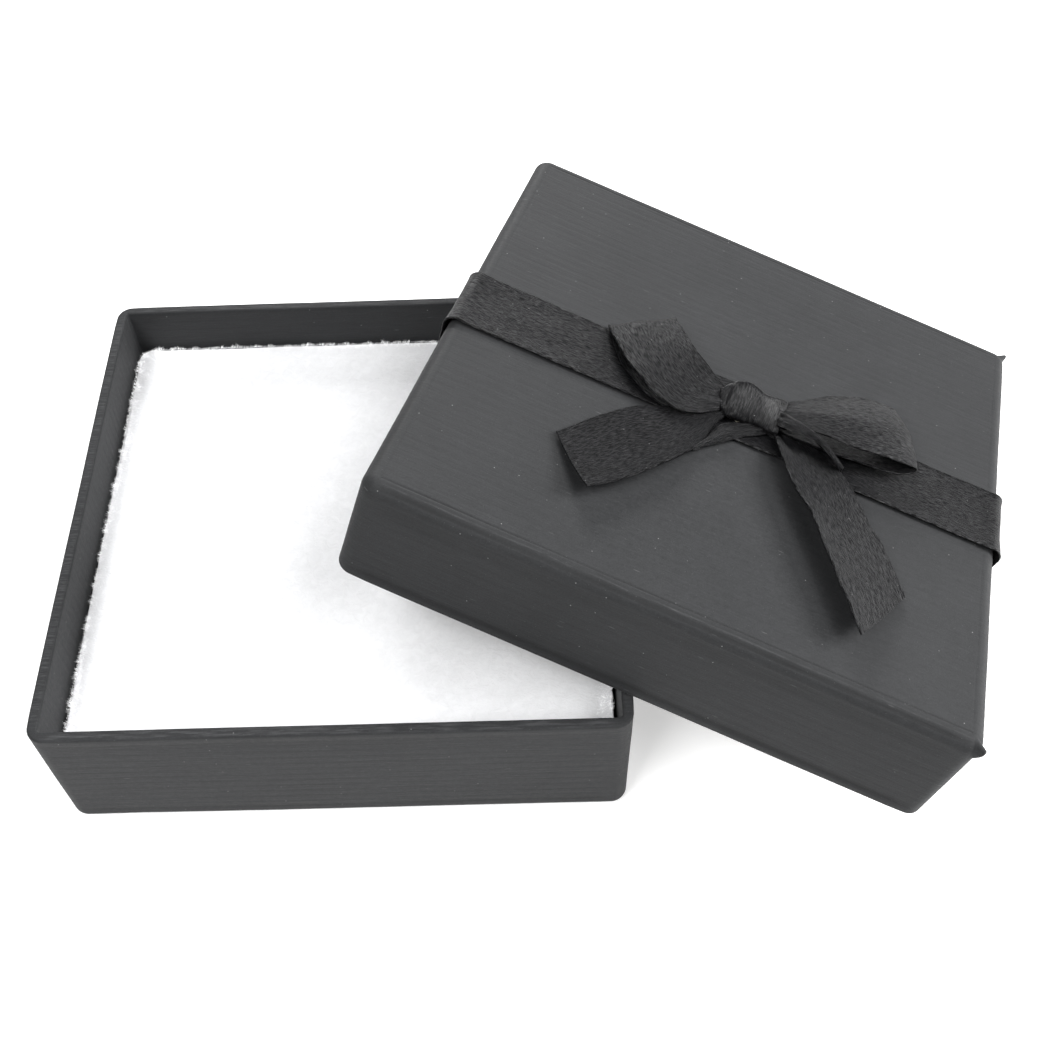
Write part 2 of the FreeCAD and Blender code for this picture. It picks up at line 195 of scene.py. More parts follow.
MERGED_PER_MM = 2000       # points that round to the same place on this fine a scale are one


def grid_faces(rows, columns, first=0, closed=False):
    """Quads of a grid of points stored row by row; closed joins the last column to the first."""
    row, column = np.meshgrid(np.arange(rows - 1), np.arange(columns if closed else columns - 1),
                              indexing="ij")
    ahead = (column + 1) % columns
    corners = [row * columns + column, row * columns + ahead,
               (row + 1) * columns + ahead, (row + 1) * columns + column]
    return (np.stack(corners, axis=-1).reshape(-1, 4) + first).tolist()


def merged(points, faces, *fields):
    """Join points that coincide, and drop the face corners this repeats."""
    keys = np.round(points * MERGED_PER_MM).astype(np.int64)
    _, keep, where = np.unique(keys, axis=0, return_index=True, return_inverse=True)
    where = where.ravel()
    clean = []
    for face in faces:
        corners = []
        for corner in where[face].tolist():
            if corner not in corners:
                corners.append(corner)
        if len(corners) > 2:
            clean.append(corners)
    return points[keep], clean, [field[keep] for field in fields]


def add_piece(name, place, points, faces, material, body, stands_for, sharp_angle=50.0):
    """A smooth-shaded mesh that rides on a body and stands for one CAD node."""
    mesh = bpy.data.meshes.new(name)
    mesh.from_pydata((place.to_row(points) * MM).tolist(), [], faces)
    mesh.validate()
    mesh.shade_smooth()
    mesh.set_sharp_from_angle(angle=math.radians(sharp_angle))
    mesh.materials.append(material)
    piece = bpy.data.objects.new(name, mesh)
    bpy.context.scene.collection.objects.link(piece)
    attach(piece, body)
    if stands_for:
        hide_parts(stands_for)
    return piece


def add_field(piece, name, values):
    """Store a number or a vector for each vertex, for the material to read."""
    kind = "FLOAT" if values.ndim == 1 else "FLOAT_VECTOR"
    attribute = piece.data.attributes.new(name, kind, "POINT")
    attribute.data.foreach_set("value" if kind == "FLOAT" else "vector",
                               values.astype(np.float32).ravel())


def add_uv(piece, along_and_across):
    """The "cloth" UV map, in millimetres, from one pair of numbers for each vertex."""
    corners = np.empty(len(piece.data.loops), np.int32)
    piece.data.loops.foreach_get("vertex_index", corners)
    layer = piece.data.uv_layers.new(name="cloth")
    layer.data.foreach_set("uv", along_and_across[corners].astype(np.float32).ravel())


# ---- boxes swept from a cross-section ----
# A section is a line of (out, up) points: out from the upright faces, up from the closed face.

CORNER_STEPS = 16


def perimeter(steps_x, steps_y):
    """Stations round a rounded square: a share of the straight half and an outward direction."""
    across = np.linspace(-1, 1, steps_x + 1)
    along = np.linspace(-1, 1, steps_y + 1)
    turns = np.linspace(0, math.pi / 2, CORNER_STEPS + 1)[1:-1]
    shares, directions = [], []
    for quarter in range(4):
        cosine, sine = ((1, 0), (0, 1), (-1, 0), (0, -1))[quarter]
        run = along if quarter % 2 == 0 else across
        for t in run:
            shares.append((cosine - sine * t, sine + cosine * t))
            directions.append((cosine, sine))
        for turn in turns:
            shares.append((cosine - sine, sine + cosine))
            directions.append((cosine * math.cos(turn) - sine * math.sin(turn),
                               sine * math.cos(turn) + cosine * math.sin(turn)))
    return np.array(shares), np.array(directions)


def swept_box(half, section, rounds, steps_x, steps_y, coarse_end=False):
    """Sweep a section round a rounded square and close both ends with flat grids.

    rounds is the corner radius of each row of the section. coarse_end closes the last row, which
    nothing shows, with long strips.
    Returns points, faces, and for each point its row in the section, its outward direction and
    which way its face looks: 0 for the closed ends, 1 for the X walls, 2 for the Y walls."""
    shares, directions = perimeter(steps_x, steps_y)
    count = len(shares)
    straight = half + section[:, 0] - rounds
    flat = shares[None] * straight[:, None, None] + directions[None] * rounds[:, None, None]
    up = np.broadcast_to(section[:, 1][:, None, None], flat.shape[:2] + (1,))
    points = [np.concatenate([flat, up], axis=-1).reshape(-1, 3)]
    rows = [np.repeat(np.arange(len(section)), count)]
    outs = [np.tile(directions, (len(section), 1))]
    looks_x = np.abs(directions[:, 0]) > np.abs(directions[:, 1])
    looks = [np.tile(np.where(looks_x, 1, 2), len(section))]
    faces = grid_faces(len(section), count, closed=True)

    for end, flip in ((0, True), (len(section) - 1, False)):
        first = sum(len(part) for part in points)
        x = np.linspace(-1, 1, steps_x + 1) * straight[end]
        y = np.linspace(-1, 1, steps_y + 1) * straight[end]
        lattice = np.stack(np.meshgrid(x, y, indexing="xy"), axis=-1).reshape(-1, 2)
        level = np.full((len(lattice), 1), section[end, 1])
        points.append(np.concatenate([lattice, level], axis=-1))
        rows.append(np.full(len(lattice), end))
        outs.append(np.zeros((len(lattice), 2)))
        looks.append(np.zeros(len(lattice), int))
        if coarse_end and not flip:
            caps = long_strips(steps_x + 1, steps_y + 1, first)
        else:
            caps = grid_faces(steps_y + 1, steps_x + 1, first)
        faces += [face[::-1] for face in caps] if flip else caps
    joined = [np.concatenate(parts) for parts in (points, rows, outs, looks)]
    return joined[0], faces, joined[1], joined[2], joined[3]


def long_strips(columns, rows, first):
    """Cover a grid that nothing shows with one strip for each row."""
    strips = []
    for row in range(rows - 1):
        low, high = first + row * columns, first + (row + 1) * columns
        lower = range(low, low + columns) if row == 0 else (low, low + columns - 1)
        upper = range(high, high + columns) if row == rows - 2 else (high, high + columns - 1)
        strips.append([*lower, *reversed(upper)])
    return strips


def straight_run(start, end, spacing):
    """Points about the spacing apart, from start up to but without end."""
    steps = max(1, round(math.dist(start, end) / spacing))
    return [np.add(start, np.subtract(end, start) * step / steps) for step in range(steps)]


def arc_run(centre, radius, start, end, steps):
    """Points of an arc from one angle in degrees up to but without the other."""
    turns = np.radians(np.linspace(start, end, steps + 1)[:-1])
    return [np.array([centre[0] + radius * math.cos(turn), centre[1] + radius * math.sin(turn)])
            for turn in turns]


# ---- covering paper ----

PAPER = 0.15
BEAD_ROUND = 0.45          # outer round of the rim
LIP_ROUND = 0.3            # inner round of the rim
EAR_REACH = 1.45           # how far a pinched corner stands out
CROSS_FOLD = 0.2           # how strongly a fold across the laid lines is creased

# Marks along the folds, in relief and in painted shade, each a place and a width. On the closed face
# they are measured from the wall, on the wall from the closed face or, where they say so, from the rim.
FACE_CREASE = (-2.35, 0.15)
FACE_RIDGE = (-1.35, 0.14)
SECOND_CREASE = (-0.75, 0.25)
WALL_HOLLOW = (3.2, 1.1)
RIM_SHADE = (1.75, 0.6)    # from the rim
LIP_SHADE = (0.25, 0.3)    # from the rim, inside
BEAD_END = (0.9, 2.1)      # from the rim, the stretch over which the bead runs out
DIP_END = (2.3, 6.5)       # from the rim, the stretch over which the dip under it runs out


def paper_section(height, turn_in, inner_spacing):
    """The sheet's outer face from the closed face to the end of the turn-in, then its back."""
    rib_step = RIB_PITCH / STEPS_PER_RIB
    rim_level = height - BEAD_ROUND
    face = straight_run((-FACE_MARGIN, 0), (-EDGE_ROUND, 0), 0.12)
    edge = arc_run((-EDGE_ROUND, EDGE_ROUND), EDGE_ROUND, -90, 0, 20)
    wall = straight_run((0, EDGE_ROUND), (0, rim_level), rib_step)
    bead = arc_run((-BEAD_ROUND, rim_level), BEAD_ROUND, 0, 90, 6)
    rim = straight_run((-BEAD_ROUND, height), (LIP_ROUND - WALL, height), 0.2)
    lip = arc_run((LIP_ROUND - WALL, height - LIP_ROUND), LIP_ROUND, 90, 180, 5)
    lining = straight_run((-WALL, height - LIP_ROUND), (-WALL, height - turn_in), inner_spacing)
    front = face + edge + wall + bead + rim + lip + lining + [np.array((-WALL, height - turn_in))]
    inside = PAPER - WALL
    back = [(inside, height - turn_in), (inside, height - 3 * PAPER), (inside + PAPER, height - 1.4 * PAPER),
            (-3 * PAPER, height - 1.4 * PAPER), (-1.4 * PAPER, height - 3 * PAPER),
            (-1.4 * PAPER, EDGE_ROUND), (-EDGE_ROUND, 1.4 * PAPER), (-FACE_MARGIN, 1.2 * PAPER)]
    return np.array(front + [np.array(point) for point in back]), len(front)


def corner_rounds(section):
    """Corner radius of each row: parallel to the outside, and drawn tight towards the lining."""
    out, up = section[:, 0], section[:, 1]
    tight = CORNER_ROUND + out * (CORNER_ROUND - LINING_ROUND) / WALL
    return np.where(up > 1.5 * EDGE_ROUND, tight, np.maximum(CORNER_ROUND + out, 0.0))


def section_normals(section):
    tangents = unit(np.gradient(section, axis=0))
    return np.column_stack([tangents[:, 1], -tangents[:, 0]])


class PaperLook:
    """For each row of a cover's section: how proud and ribbed it is, and its painted shade and highlight."""

    def __init__(self, section, front_count, height):
        out, up = section[:, 0], section[:, 1]
        on_front = np.arange(len(section)) < front_count
        on_face = (up < 0.3 * EDGE_ROUND) & on_front
        on_wall = (out > -0.5 * BEAD_ROUND) & (up > 0.3 * EDGE_ROUND) & on_front
        crease = hump(out, *FACE_CREASE) * on_face
        ridge = hump(out, *FACE_RIDGE) * on_face
        second_crease = hump(out, *SECOND_CREASE) * on_face
        below_edge = hump(up, *WALL_HOLLOW) * on_wall
        from_rim = height - up
        bead = (1 - soft_step(from_rim, *BEAD_END)) * on_wall
        dip = soft_step(from_rim, *BEAD_END) * (1 - soft_step(from_rim, *DIP_END)) * on_wall
        self.relief = (0.05 * ridge + 0.09 * bead - 0.09 * crease - 0.05 * second_crease
                       - 0.05 * below_edge - 0.06 * dip)
        shaded_band = hump(from_rim, *RIM_SHADE) * on_wall
        lip = hump(from_rim, *LIP_SHADE) * (out < -1.2) * on_front
        rim_crest = (from_rim < 0.5) * (1 - soft_step(np.abs(out + 0.75), 0.4, 0.75)) * on_front
        rolled = soft_step(out, -2.2, -1.6) * on_face
        # Painted shade: darker paper in the creases, under the folded edge, under the rim bead and inside
        # the lip.
        self.fold_shade = np.clip(crease + 0.45 * rolled - 0.35 * ridge + 0.4 * second_crease
                               + 0.3 * below_edge + 0.9 * shaded_band + 0.4 * lip, 0, 1)
        # Painted highlight: lighter paper on the ridge by the folded edge and on the rim's crest, where they
        # catch the light.
        self.crest_highlight = np.clip(0.6 * ridge + rim_crest, 0, 1)
        on_fold = on_face & (out > -2.2)
        on_rim = (from_rim < 0.5) & (out < -0.2)
        self.ribs = on_front * (1 - 0.85 * on_fold) * (1 - 0.5 * bead) * (1 - 0.8 * on_rim)


def laid_lines(travel):
    """Height of the paper's ribs: a strong line with a weaker one between."""
    turn = travel * (2 * math.pi / RIB_PITCH)
    return 0.8 * np.sin(turn) + 0.5 * np.sin(2 * turn + 0.9)


def flat_sheet(points, looks, travel):
    """Where each point lay on the paper before folding: along the laid lines, and across them.

    travel is how far each point is from the middle of the sheet, going over the folds."""
    along = np.where(looks == 1, np.sign(points[:, 0]) * travel, points[:, 0])
    across = np.where(looks == 2, np.sign(points[:, 1]) * travel, points[:, 1])
    return np.stack([along, across], axis=-1)


def pinched_ear(points, outs, corner, half):
    """A thin fin of spare paper at one corner, just behind the closed face."""
    near = np.hypot(*(points[:, :2] - np.array(corner) * half).T) < 2 * CORNER_ROUND
    way = np.array(corner) / math.sqrt(2)
    thin = soft_step(outs @ way, 0.968, 0.999) * near
    tall = soft_step(points[:, 2], 0.05, 0.5) * np.clip((3.0 - points[:, 2]) / 2.5, 0, 1)
    return (EAR_REACH * thin * tall)[:, None] * np.append(way, -0.2)


def paper_shell(name, place, half, height, turn_in, inner_spacing, ears, material, body, stands_for, seed):
    """One sheet over a tray or lid: laid lines, creased edges, a rim bead and pinched corners.

    ears lists the corners that are pinched, as signs of X and Y."""
    section, front_count = paper_section(height, turn_in, inner_spacing)
    steps_y = 2 * round((half - EDGE_ROUND) * STEPS_PER_RIB / RIB_PITCH)
    steps_x = round(half * 0.7)
    points, faces, rows, outs, looks = swept_box(half, section, corner_rounds(section), steps_x, steps_y,
                                                 coarse_end=True)
    look = PaperLook(section, front_count, height)
    normals = section_normals(section)
    sheet = flat_sheet(points, looks, (travel_along(section) + half - FACE_MARGIN)[rows])
    corner_reach = np.hypot(half - np.abs(points[:, 0]), half - np.abs(points[:, 1]))
    corner_fade = soft_step(corner_reach, 1.5, 5.0)
    uneven = 0.75 + 0.25 * waves(sheet * np.array([0.25, 1.0]), 7.0, seed + 15)
    lines_at = sheet[:, 1] + 0.06 * waves(sheet, 16.0, seed + 16)
    ribs = RIB_TALL * laid_lines(lines_at) * np.clip(uneven, 0.1, 1.3)
    folds_y = np.abs(points[:, 1]) > np.abs(points[:, 0])
    along_grain = np.where(folds_y | (points[:, 2] > 2 * EDGE_ROUND), 1.0, CROSS_FOLD)
    rim_ribs = np.where(folds_y | (height - points[:, 2] > 2.5), 1.0, CROSS_FOLD)
    depth = (look.relief[rows] * along_grain + ribs * look.ribs[rows] * rim_ribs) * corner_fade
    lift = np.concatenate([outs * normals[rows, :1], normals[rows, 1:]], axis=-1)
    lift = np.where((looks == 0)[:, None], np.array([0.0, 0.0, -1.0]), lift)
    wander = np.stack([waves(points, 34.0, seed + axis) * 0.018 + waves(points, 9.0, seed + 7 + axis) * 0.005
                       for axis in range(3)], axis=-1)
    moved = points + lift * depth[:, None] + wander
    for corner in ears:
        moved += pinched_ear(points, outs, corner, half) * (rows < front_count)[:, None]

    # Painted shade in the creases and under the rim, carried to the material.
    fold_shade = look.fold_shade[rows] * along_grain * corner_fade * (0.85 + 0.15 * waves(points, 12.0, seed + 20))
    # Painted highlight on the ridge and the rim's crest, carried to the material.
    painted_highlight = look.crest_highlight[rows] * along_grain * corner_fade
    moved, faces, (sheet, fold_shade, painted_highlight) = merged(moved, faces, sheet, np.clip(fold_shade, 0, 1), painted_highlight)
    piece = add_piece(name, place, moved, faces, material, body, stands_for)
    add_field(piece, "sheet", np.column_stack([sheet, np.zeros(len(sheet))]))
    add_field(piece, "fold_shade", fold_shade)
    add_field(piece, "painted_highlight", painted_highlight)
    return piece


# ---- pad ----

PAD_ROUND = 3.0
PAD_CELLS = 44             # cells of the cloth across each face
PAD_BORDER = 6.0           # how far the swept edge of a slab reaches in from its side
FOAM_GAPS = (0.15, 0.1)    # kept free beside the foam and over it
FOAM_EDGE_ROUND = 0.6
FACE_GAP = 0.1             # kept free beside the brushed face
FACE_EDGE_ROUND = 0.55
FACE_LAP = 0.6             # how far the brushed face comes down over the foam
SWELL_PRESSURE = 4.0
SWELL_STIFFNESS = 15.0
SWELL_REACH = 0.35         # the most that a point of the swelling face may move
SWELL_FRAMES = 20
PAINTED_FACE_GLOW = 0.04           # painted light: a glow that stands in for light scattered inside the brushed face
PAINTED_NAP_GLOW = 0.25            # painted light: a glow that stands in for light scattered through the loose fibres
NAP_ROOM = 0.25            # height kept free above the face for its fibres
NAP_THICK = 0.045
NAP_EDGE_COUNT = 17000
NAP_EDGE_PLACES = 400      # stations to each side that an edge fibre may stand at
NAP_TOP_COUNT = 4500


def pad_section(bottom, top, edge_round):
    """A slab's side from its lower face to its upper one, with soft edges."""
    lower = straight_run((-PAD_BORDER, bottom), (-edge_round, bottom), 1.6)
    low_edge = arc_run((-edge_round, bottom + edge_round), edge_round, -90, 0, 4)
    side = straight_run((0, bottom + edge_round), (0, top - edge_round), 1.8)
    high_edge = arc_run((-edge_round, top - edge_round), edge_round, 0, 90, 5)
    upper = straight_run((-edge_round, top), (-PAD_BORDER, top), 1.6)
    return np.array(lower + low_edge + side + high_edge + upper + [np.array((-PAD_BORDER, top))])


def soft_slab(half, bottom, top, edge_round):
    """A closed square slab with rounded corners and edges, as points and faces."""
    section = pad_section(bottom, top, edge_round)
    rounds = np.maximum(PAD_ROUND + section[:, 0], 0.0)
    points, faces, _, _, _ = swept_box(half, section, rounds, PAD_CELLS, PAD_CELLS)
    points, faces, _ = merged(points, faces)
    return points, faces


def swollen(points, faces, pinned_below):
    """Let a closed slab swell as cloth under pressure, and cap how far its points may move."""
    mesh = bpy.data.meshes.new("swelling")
    mesh.from_pydata((points * MM).tolist(), [], faces)
    slab = bpy.data.objects.new("swelling", mesh)
    scene = bpy.context.scene
    scene.collection.objects.link(slab)
    group = slab.vertex_groups.new(name="held")
    group.add(np.flatnonzero(points[:, 2] < pinned_below).tolist(), 1.0, "REPLACE")
    cloth = slab.modifiers.new("swell", "CLOTH")
    cloth.settings.use_pressure = True
    cloth.settings.uniform_pressure_force = SWELL_PRESSURE
    cloth.settings.effector_weights.gravity = 0.0
    cloth.settings.vertex_group_mass = group.name
    cloth.settings.tension_stiffness = SWELL_STIFFNESS
    for step in range(1, SWELL_FRAMES + 1):
        scene.frame_set(step)
    graph = bpy.context.evaluated_depsgraph_get()
    settled = slab.evaluated_get(graph).to_mesh()
    moved = np.array([vertex.co for vertex in settled.vertices]) / MM
    slab.evaluated_get(graph).to_mesh_clear()
    scene.frame_set(1)
    bpy.data.objects.remove(slab)
    bpy.data.meshes.remove(mesh)
    shift = moved - points
    length = np.linalg.norm(shift, axis=1, keepdims=True)
    return points + shift * np.minimum(1.0, SWELL_REACH / np.maximum(length, 1e-9))


def pad_pieces():
    """The foam block and the brushed face on it, with its nap of fibres."""
    half = FOAM_HIGH[0]
    points, faces = soft_slab(half - FOAM_GAPS[0], FOAM_LOW[2], FOAM_HIGH[2] - FOAM_GAPS[1], FOAM_EDGE_ROUND)
    soft = [waves(points, 11.0, 40 + axis) for axis in range(3)]
    points = points + 0.05 * np.stack(soft, axis=-1)
    add_piece("pad_foam_block", ROW, points, faces, foam(), "pad", "pad_foam")

    face_bottom = FACE_LOW[2] - FACE_LAP
    points, faces = soft_slab(half - FACE_GAP, face_bottom, FACE_HIGH[2] - NAP_ROOM, FACE_EDGE_ROUND)
    points = swollen(points, faces, pinned_below=face_bottom + 0.1)
    near_top = soft_step(points[:, 2], face_bottom, FACE_HIGH[2] - 2 * NAP_ROOM)
    points[:, 2] += 0.06 * waves(points, 22.0, 50) * near_top
    face = add_piece("pad_brushed_face", ROW, points, faces, brushed_face(), "pad", "pad_face")
    smoothing = face.modifiers.new("soft", "SUBSURF")
    smoothing.levels = smoothing.render_levels = 1
    pad_nap(half, nap())


def fibres(roots, directions, lengths):
    """Closed three-sided hairs that taper and bend to a point."""
    sideways = unit(np.cross(directions, [0.31, 0.72, 0.62]))
    other = np.cross(directions, sideways)
    bend_at = 0.55
    points = np.empty((len(roots), 7, 3))
    for ring, (share, width) in enumerate(((0.0, 1.0), (bend_at, 0.8))):
        centre = roots + directions * (lengths * share)[:, None]
        for corner in range(3):
            turn = corner * 2 * math.pi / 3
            spoke = sideways * math.cos(turn) + other * math.sin(turn)
            points[:, 3 * ring + corner] = centre + spoke * (NAP_THICK * width / 2)
    tip_way = unit(directions + 0.5 * sideways)
    points[:, 6] = centre + tip_way * (lengths * (1 - bend_at))[:, None]
    pattern = [(0, 2, 1), (0, 1, 4, 3), (1, 2, 5, 4), (2, 0, 3, 5), (3, 4, 6), (4, 5, 6), (5, 3, 6)]
    faces = [[base + corner for corner in face] for base in range(0, 7 * len(roots), 7) for face in pattern]
    return points.reshape(-1, 3), faces


def pad_nap(half, material):
    """Short fibres over the brushed face, set closer along its cut edge."""
    draw = np.random.default_rng(11)
    top = FACE_HIGH[2] - NAP_ROOM
    shares, outs = perimeter(NAP_EDGE_PLACES, NAP_EDGE_PLACES)
    pick = draw.integers(0, len(shares), NAP_EDGE_COUNT)
    inset = 0.5 + 2.6 * draw.uniform(0, 1, NAP_EDGE_COUNT) ** 2
    at = shares[pick] * (half - PAD_ROUND) + outs[pick] * (PAD_ROUND - inset)[:, None]
    edge_roots = np.column_stack([at, np.full(NAP_EDGE_COUNT, top - 0.1)])
    edge_ways = np.column_stack([outs[pick] * draw.uniform(0.3, 1.2, (NAP_EDGE_COUNT, 1)),
                                 draw.uniform(0.1, 1.0, NAP_EDGE_COUNT)])
    edge_ways = unit(edge_ways + draw.normal(scale=0.3, size=edge_ways.shape))
    tufts = np.clip(0.8 + 0.3 * waves(at, 2.2, 12), 0.4, 1.3)
    edge_lengths = draw.uniform(0.2, 0.8, NAP_EDGE_COUNT) * tufts

    spots = draw.uniform(-half + 1, half - 1, (NAP_TOP_COUNT, 2))
    top_roots = np.column_stack([spots, np.full(NAP_TOP_COUNT, top - 0.05)])
    top_ways = unit(np.column_stack([draw.normal(size=(NAP_TOP_COUNT, 2)),
                                     draw.uniform(0.2, 0.8, NAP_TOP_COUNT)]))
    top_lengths = draw.uniform(0.3, 0.8, NAP_TOP_COUNT)
    points, faces = fibres(np.concatenate([edge_roots, top_roots]), np.concatenate([edge_ways, top_ways]),
                           np.concatenate([edge_lengths, top_lengths]))
    piece = add_piece("pad_nap_fibres", ROW, points, faces, material, "pad", None)
    piece.visible_shadow = False    # real fibres are far too fine to shade each other


# ---- ribbon ----

BAND_GAPS = {"wall": 0.08, "face": 0.10, "rim": 0.05, "lining": 0.06}    # between it and the paper
BAND_TUCK = 11.0           # up inside the lid
RIM_BEND = 0.6
FACE_BEND = 1.5            # where it turns over the lid's folded edge
BEND_STEPS = 12
STRIP_STEP = 0.28          # along the bow's strips, from one row of the mesh to the next


def ribbon_piece(name, surface, travel, across, material, stands_for):
    """Give a surface of ribbon its thickness and corded woven edges, and place it on the lid."""
    rows, columns = surface.shape[:2]
    along_way = np.gradient(surface, axis=0)
    across_way = np.gradient(surface, axis=1)
    lift = unit(np.cross(along_way, across_way))
    edge = np.abs(across) / RIBBON_HALF
    corded = 1 + 0.7 * hump(edge, 0.965, 0.025)
    rounded = 0.75 * soft_step(edge, 0.975, 1.0)
    half = (RIBBON_THICK / 2 * (corded - rounded))[None, :, None]
    points = np.concatenate([(surface + lift * half).reshape(-1, 3), (surface - lift * half).reshape(-1, 3)])
    upper = grid_faces(rows, columns)
    lower = [face[::-1] for face in grid_faces(rows, columns, rows * columns)]
    border = ([(0, column) for column in range(columns)]
              + [(row, columns - 1) for row in range(1, rows)]
              + [(rows - 1, column) for column in range(columns - 2, -1, -1)]
              + [(row, 0) for row in range(rows - 2, 0, -1)])
    ring = [row * columns + column for row, column in border]
    below = rows * columns
    sides = [[ring[i], ring[i - 1], ring[i - 1] + below, ring[i] + below] for i in range(len(ring))]
    piece = add_piece(name, LID, points, upper + lower + sides, material, "lid", stands_for,
                      sharp_angle=75.0)
    flat = pairs(travel, across).reshape(-1, 2)
    add_uv(piece, np.concatenate([flat, flat]))
    return piece


def across_columns(count):
    """Places across the ribbon's width, closer together at its woven edges."""
    t = np.linspace(-1, 1, count)
    return RIBBON_HALF * (t + 0.16 * np.sin(math.pi * t))


def rounded_path(corners, rounds, spacing):
    """A line through corners, each replaced by an arc of its own radius, at even spacing."""
    corners = np.array(corners, float)
    path = [corners[0]]
    for before, corner, after, radius in zip(corners, corners[1:], corners[2:], rounds):
        arrive, leave = unit(corner - before), unit(after - corner)
        turn = math.acos(np.clip(arrive @ leave, -1, 1))
        reach = radius * math.tan(turn / 2)
        start, end = corner - arrive * reach, corner + leave * reach
        inward = unit(leave - arrive)
        centre = corner + inward * (radius / math.cos(turn / 2))
        for step in range(BEND_STEPS + 1):
            share = step / BEND_STEPS
            spoke = (start - centre) * math.sin((1 - share) * turn) + (end - centre) * math.sin(share * turn)
            path.append(centre + spoke / math.sin(turn))
    path.append(corners[-1])
    path = np.array(path)
    travel = travel_along(path)
    even = np.linspace(0, travel[-1], round(travel[-1] / spacing) + 1)
    return np.column_stack([np.interp(even, travel, path[:, axis]) for axis in range(path.shape[1])]), even


def satin_band(material):
    """The band over the lid, down two walls, under the rim and tucked up inside."""
    outside = LID_HALF + RIBBON_THICK / 2 + BAND_GAPS["wall"]
    over = RIBBON_THICK / 2 + BAND_GAPS["face"]
    under = -LID_HEIGHT - RIBBON_THICK / 2 - BAND_GAPS["rim"]
    inside = LID_HALF - WALL - RIBBON_THICK / 2 - BAND_GAPS["lining"]
    tuck_end = BAND_LOW[2] + BAND_TUCK
    right = [(outside, over), (outside, under), (inside, under), (inside, tuck_end)]
    left = [(-x, z) for x, z in reversed(right)]
    rounds = [RIM_BEND, RIM_BEND, FACE_BEND, FACE_BEND, RIM_BEND, RIM_BEND]
    path, travel = rounded_path(left + right, rounds, 0.4)
    across = across_columns(31)
    surface = np.empty((len(path), len(across), 3))
    surface[..., 0] = path[:, :1]
    surface[..., 1] = (BAND_LOW[1] + BAND_HIGH[1]) / 2 + across
    surface[..., 2] = path[:, 1:]
    tangent = unit(np.gradient(path, axis=0))
    outward = np.column_stack([-tangent[:, 1], tangent[:, 0]])
    shown = soft_step(path[:, 1], -LID_HEIGHT + 1, -LID_HEIGHT + 4)
    slack = 0.30 * hump(np.hypot(np.abs(path[:, 0]) - LID_HALF, path[:, 1]), 0.0, 2.2)
    front_curl = 0.22 * soft_step(-across, 0.35 * RIBBON_HALF, RIBBON_HALF)
    back_curl = 0.08 * soft_step(across, 0.5 * RIBBON_HALF, RIBBON_HALF)
    ripple = 0.035 * waves(surface[..., :2] + surface[..., 2:], 9.0, 61)
    lift = slack[:, None] + shown[:, None] * (front_curl + back_curl + ripple + 0.05)
    surface[..., 0] += lift * outward[:, :1]
    surface[..., 2] += lift * outward[:, 1:]
    ribbon_piece("satin_band", surface, travel, across, material, "ribbon_band")


# Each strip of the bow has three rails, its front edge, middle and back edge, with points
# (along the band, across it, height) in the lid's own frame. They run outwards from the knot.
LEFT_LOOP = (
    [(-1.4, -3.2, 2.0), (-5.5, -7.4, 2.4), (-9.0, -8.3, 2.5), (-12.0, -7.2, 2.6), (-15.2, -5.0, 2.6),
     (-18.7, -1.2, 2.3), (-22.2, 4.5, 1.5), (-21.6, 4.6, 0.6), (-18.7, -0.8, 0.6), (-15.1, -4.1, 0.6),
     (-11.0, -6.6, 0.7), (-6.0, -6.3, 0.8), (-2.0, -3.6, 1.0)],
    [(-1.4, -2.0, 3.2), (-4.8, -3.4, 3.2), (-7.4, -2.6, 2.8), (-9.8, -1.0, 3.0), (-12.4, 1.4, 3.2),
     (-14.8, 4.6, 2.9), (-17.5, 9.1, 1.8), (-17.2, 8.6, 0.6), (-14.6, 4.6, 0.6), (-12.4, 1.6, 0.6),
     (-9.2, -1.2, 0.7), (-5.4, -2.6, 0.8), (-2.2, -1.4, 1.0)],
    [(-1.4, -0.6, 3.2), (-3.8, 0.6, 3.7), (-5.6, 2.4, 3.8), (-7.8, 4.8, 3.6), (-9.6, 7.2, 3.3),
     (-11.2, 9.8, 2.8), (-12.9, 13.0, 1.9), (-12.6, 12.4, 0.6), (-10.8, 9.6, 0.6), (-9.2, 7.2, 0.6),
     (-7.2, 4.2, 0.7), (-4.8, 1.6, 0.8), (-2.4, 1.0, 1.0)],
)
RIGHT_LOOP = (
    [(6.4, -2.0, 2.2), (12.5, -3.1, 4.6), (18.7, -3.5, 5.2), (24.2, -2.0, 4.8), (28.0, -0.6, 3.9),
     (29.3, 0.0, 3.0), (27.9, -0.9, 2.2), (23.4, -1.7, 1.7), (16.2, -2.3, 1.5), (11.0, -2.2, 1.3),
     (6.8, -2.0, 1.2)],
    [(6.4, -0.2, 3.2), (12.2, 1.4, 4.9), (18.0, 3.0, 5.6), (23.4, 4.8, 5.2), (27.0, 6.0, 4.1),
     (28.2, 6.6, 2.4), (26.9, 6.0, 1.2), (22.2, 4.9, 0.8), (15.8, 3.4, 0.8), (10.8, 1.8, 0.9),
     (7.0, 0.2, 1.2)],
    [(6.4, 1.4, 2.8), (11.8, 6.2, 3.6), (16.5, 9.4, 3.8), (21.3, 11.5, 3.6), (24.4, 12.2, 3.0),
     (25.6, 12.0, 1.6), (24.4, 11.8, 0.7), (20.5, 11.0, 0.6), (15.0, 9.0, 0.6), (10.5, 5.6, 0.8),
     (7.2, 2.2, 1.2)],
)
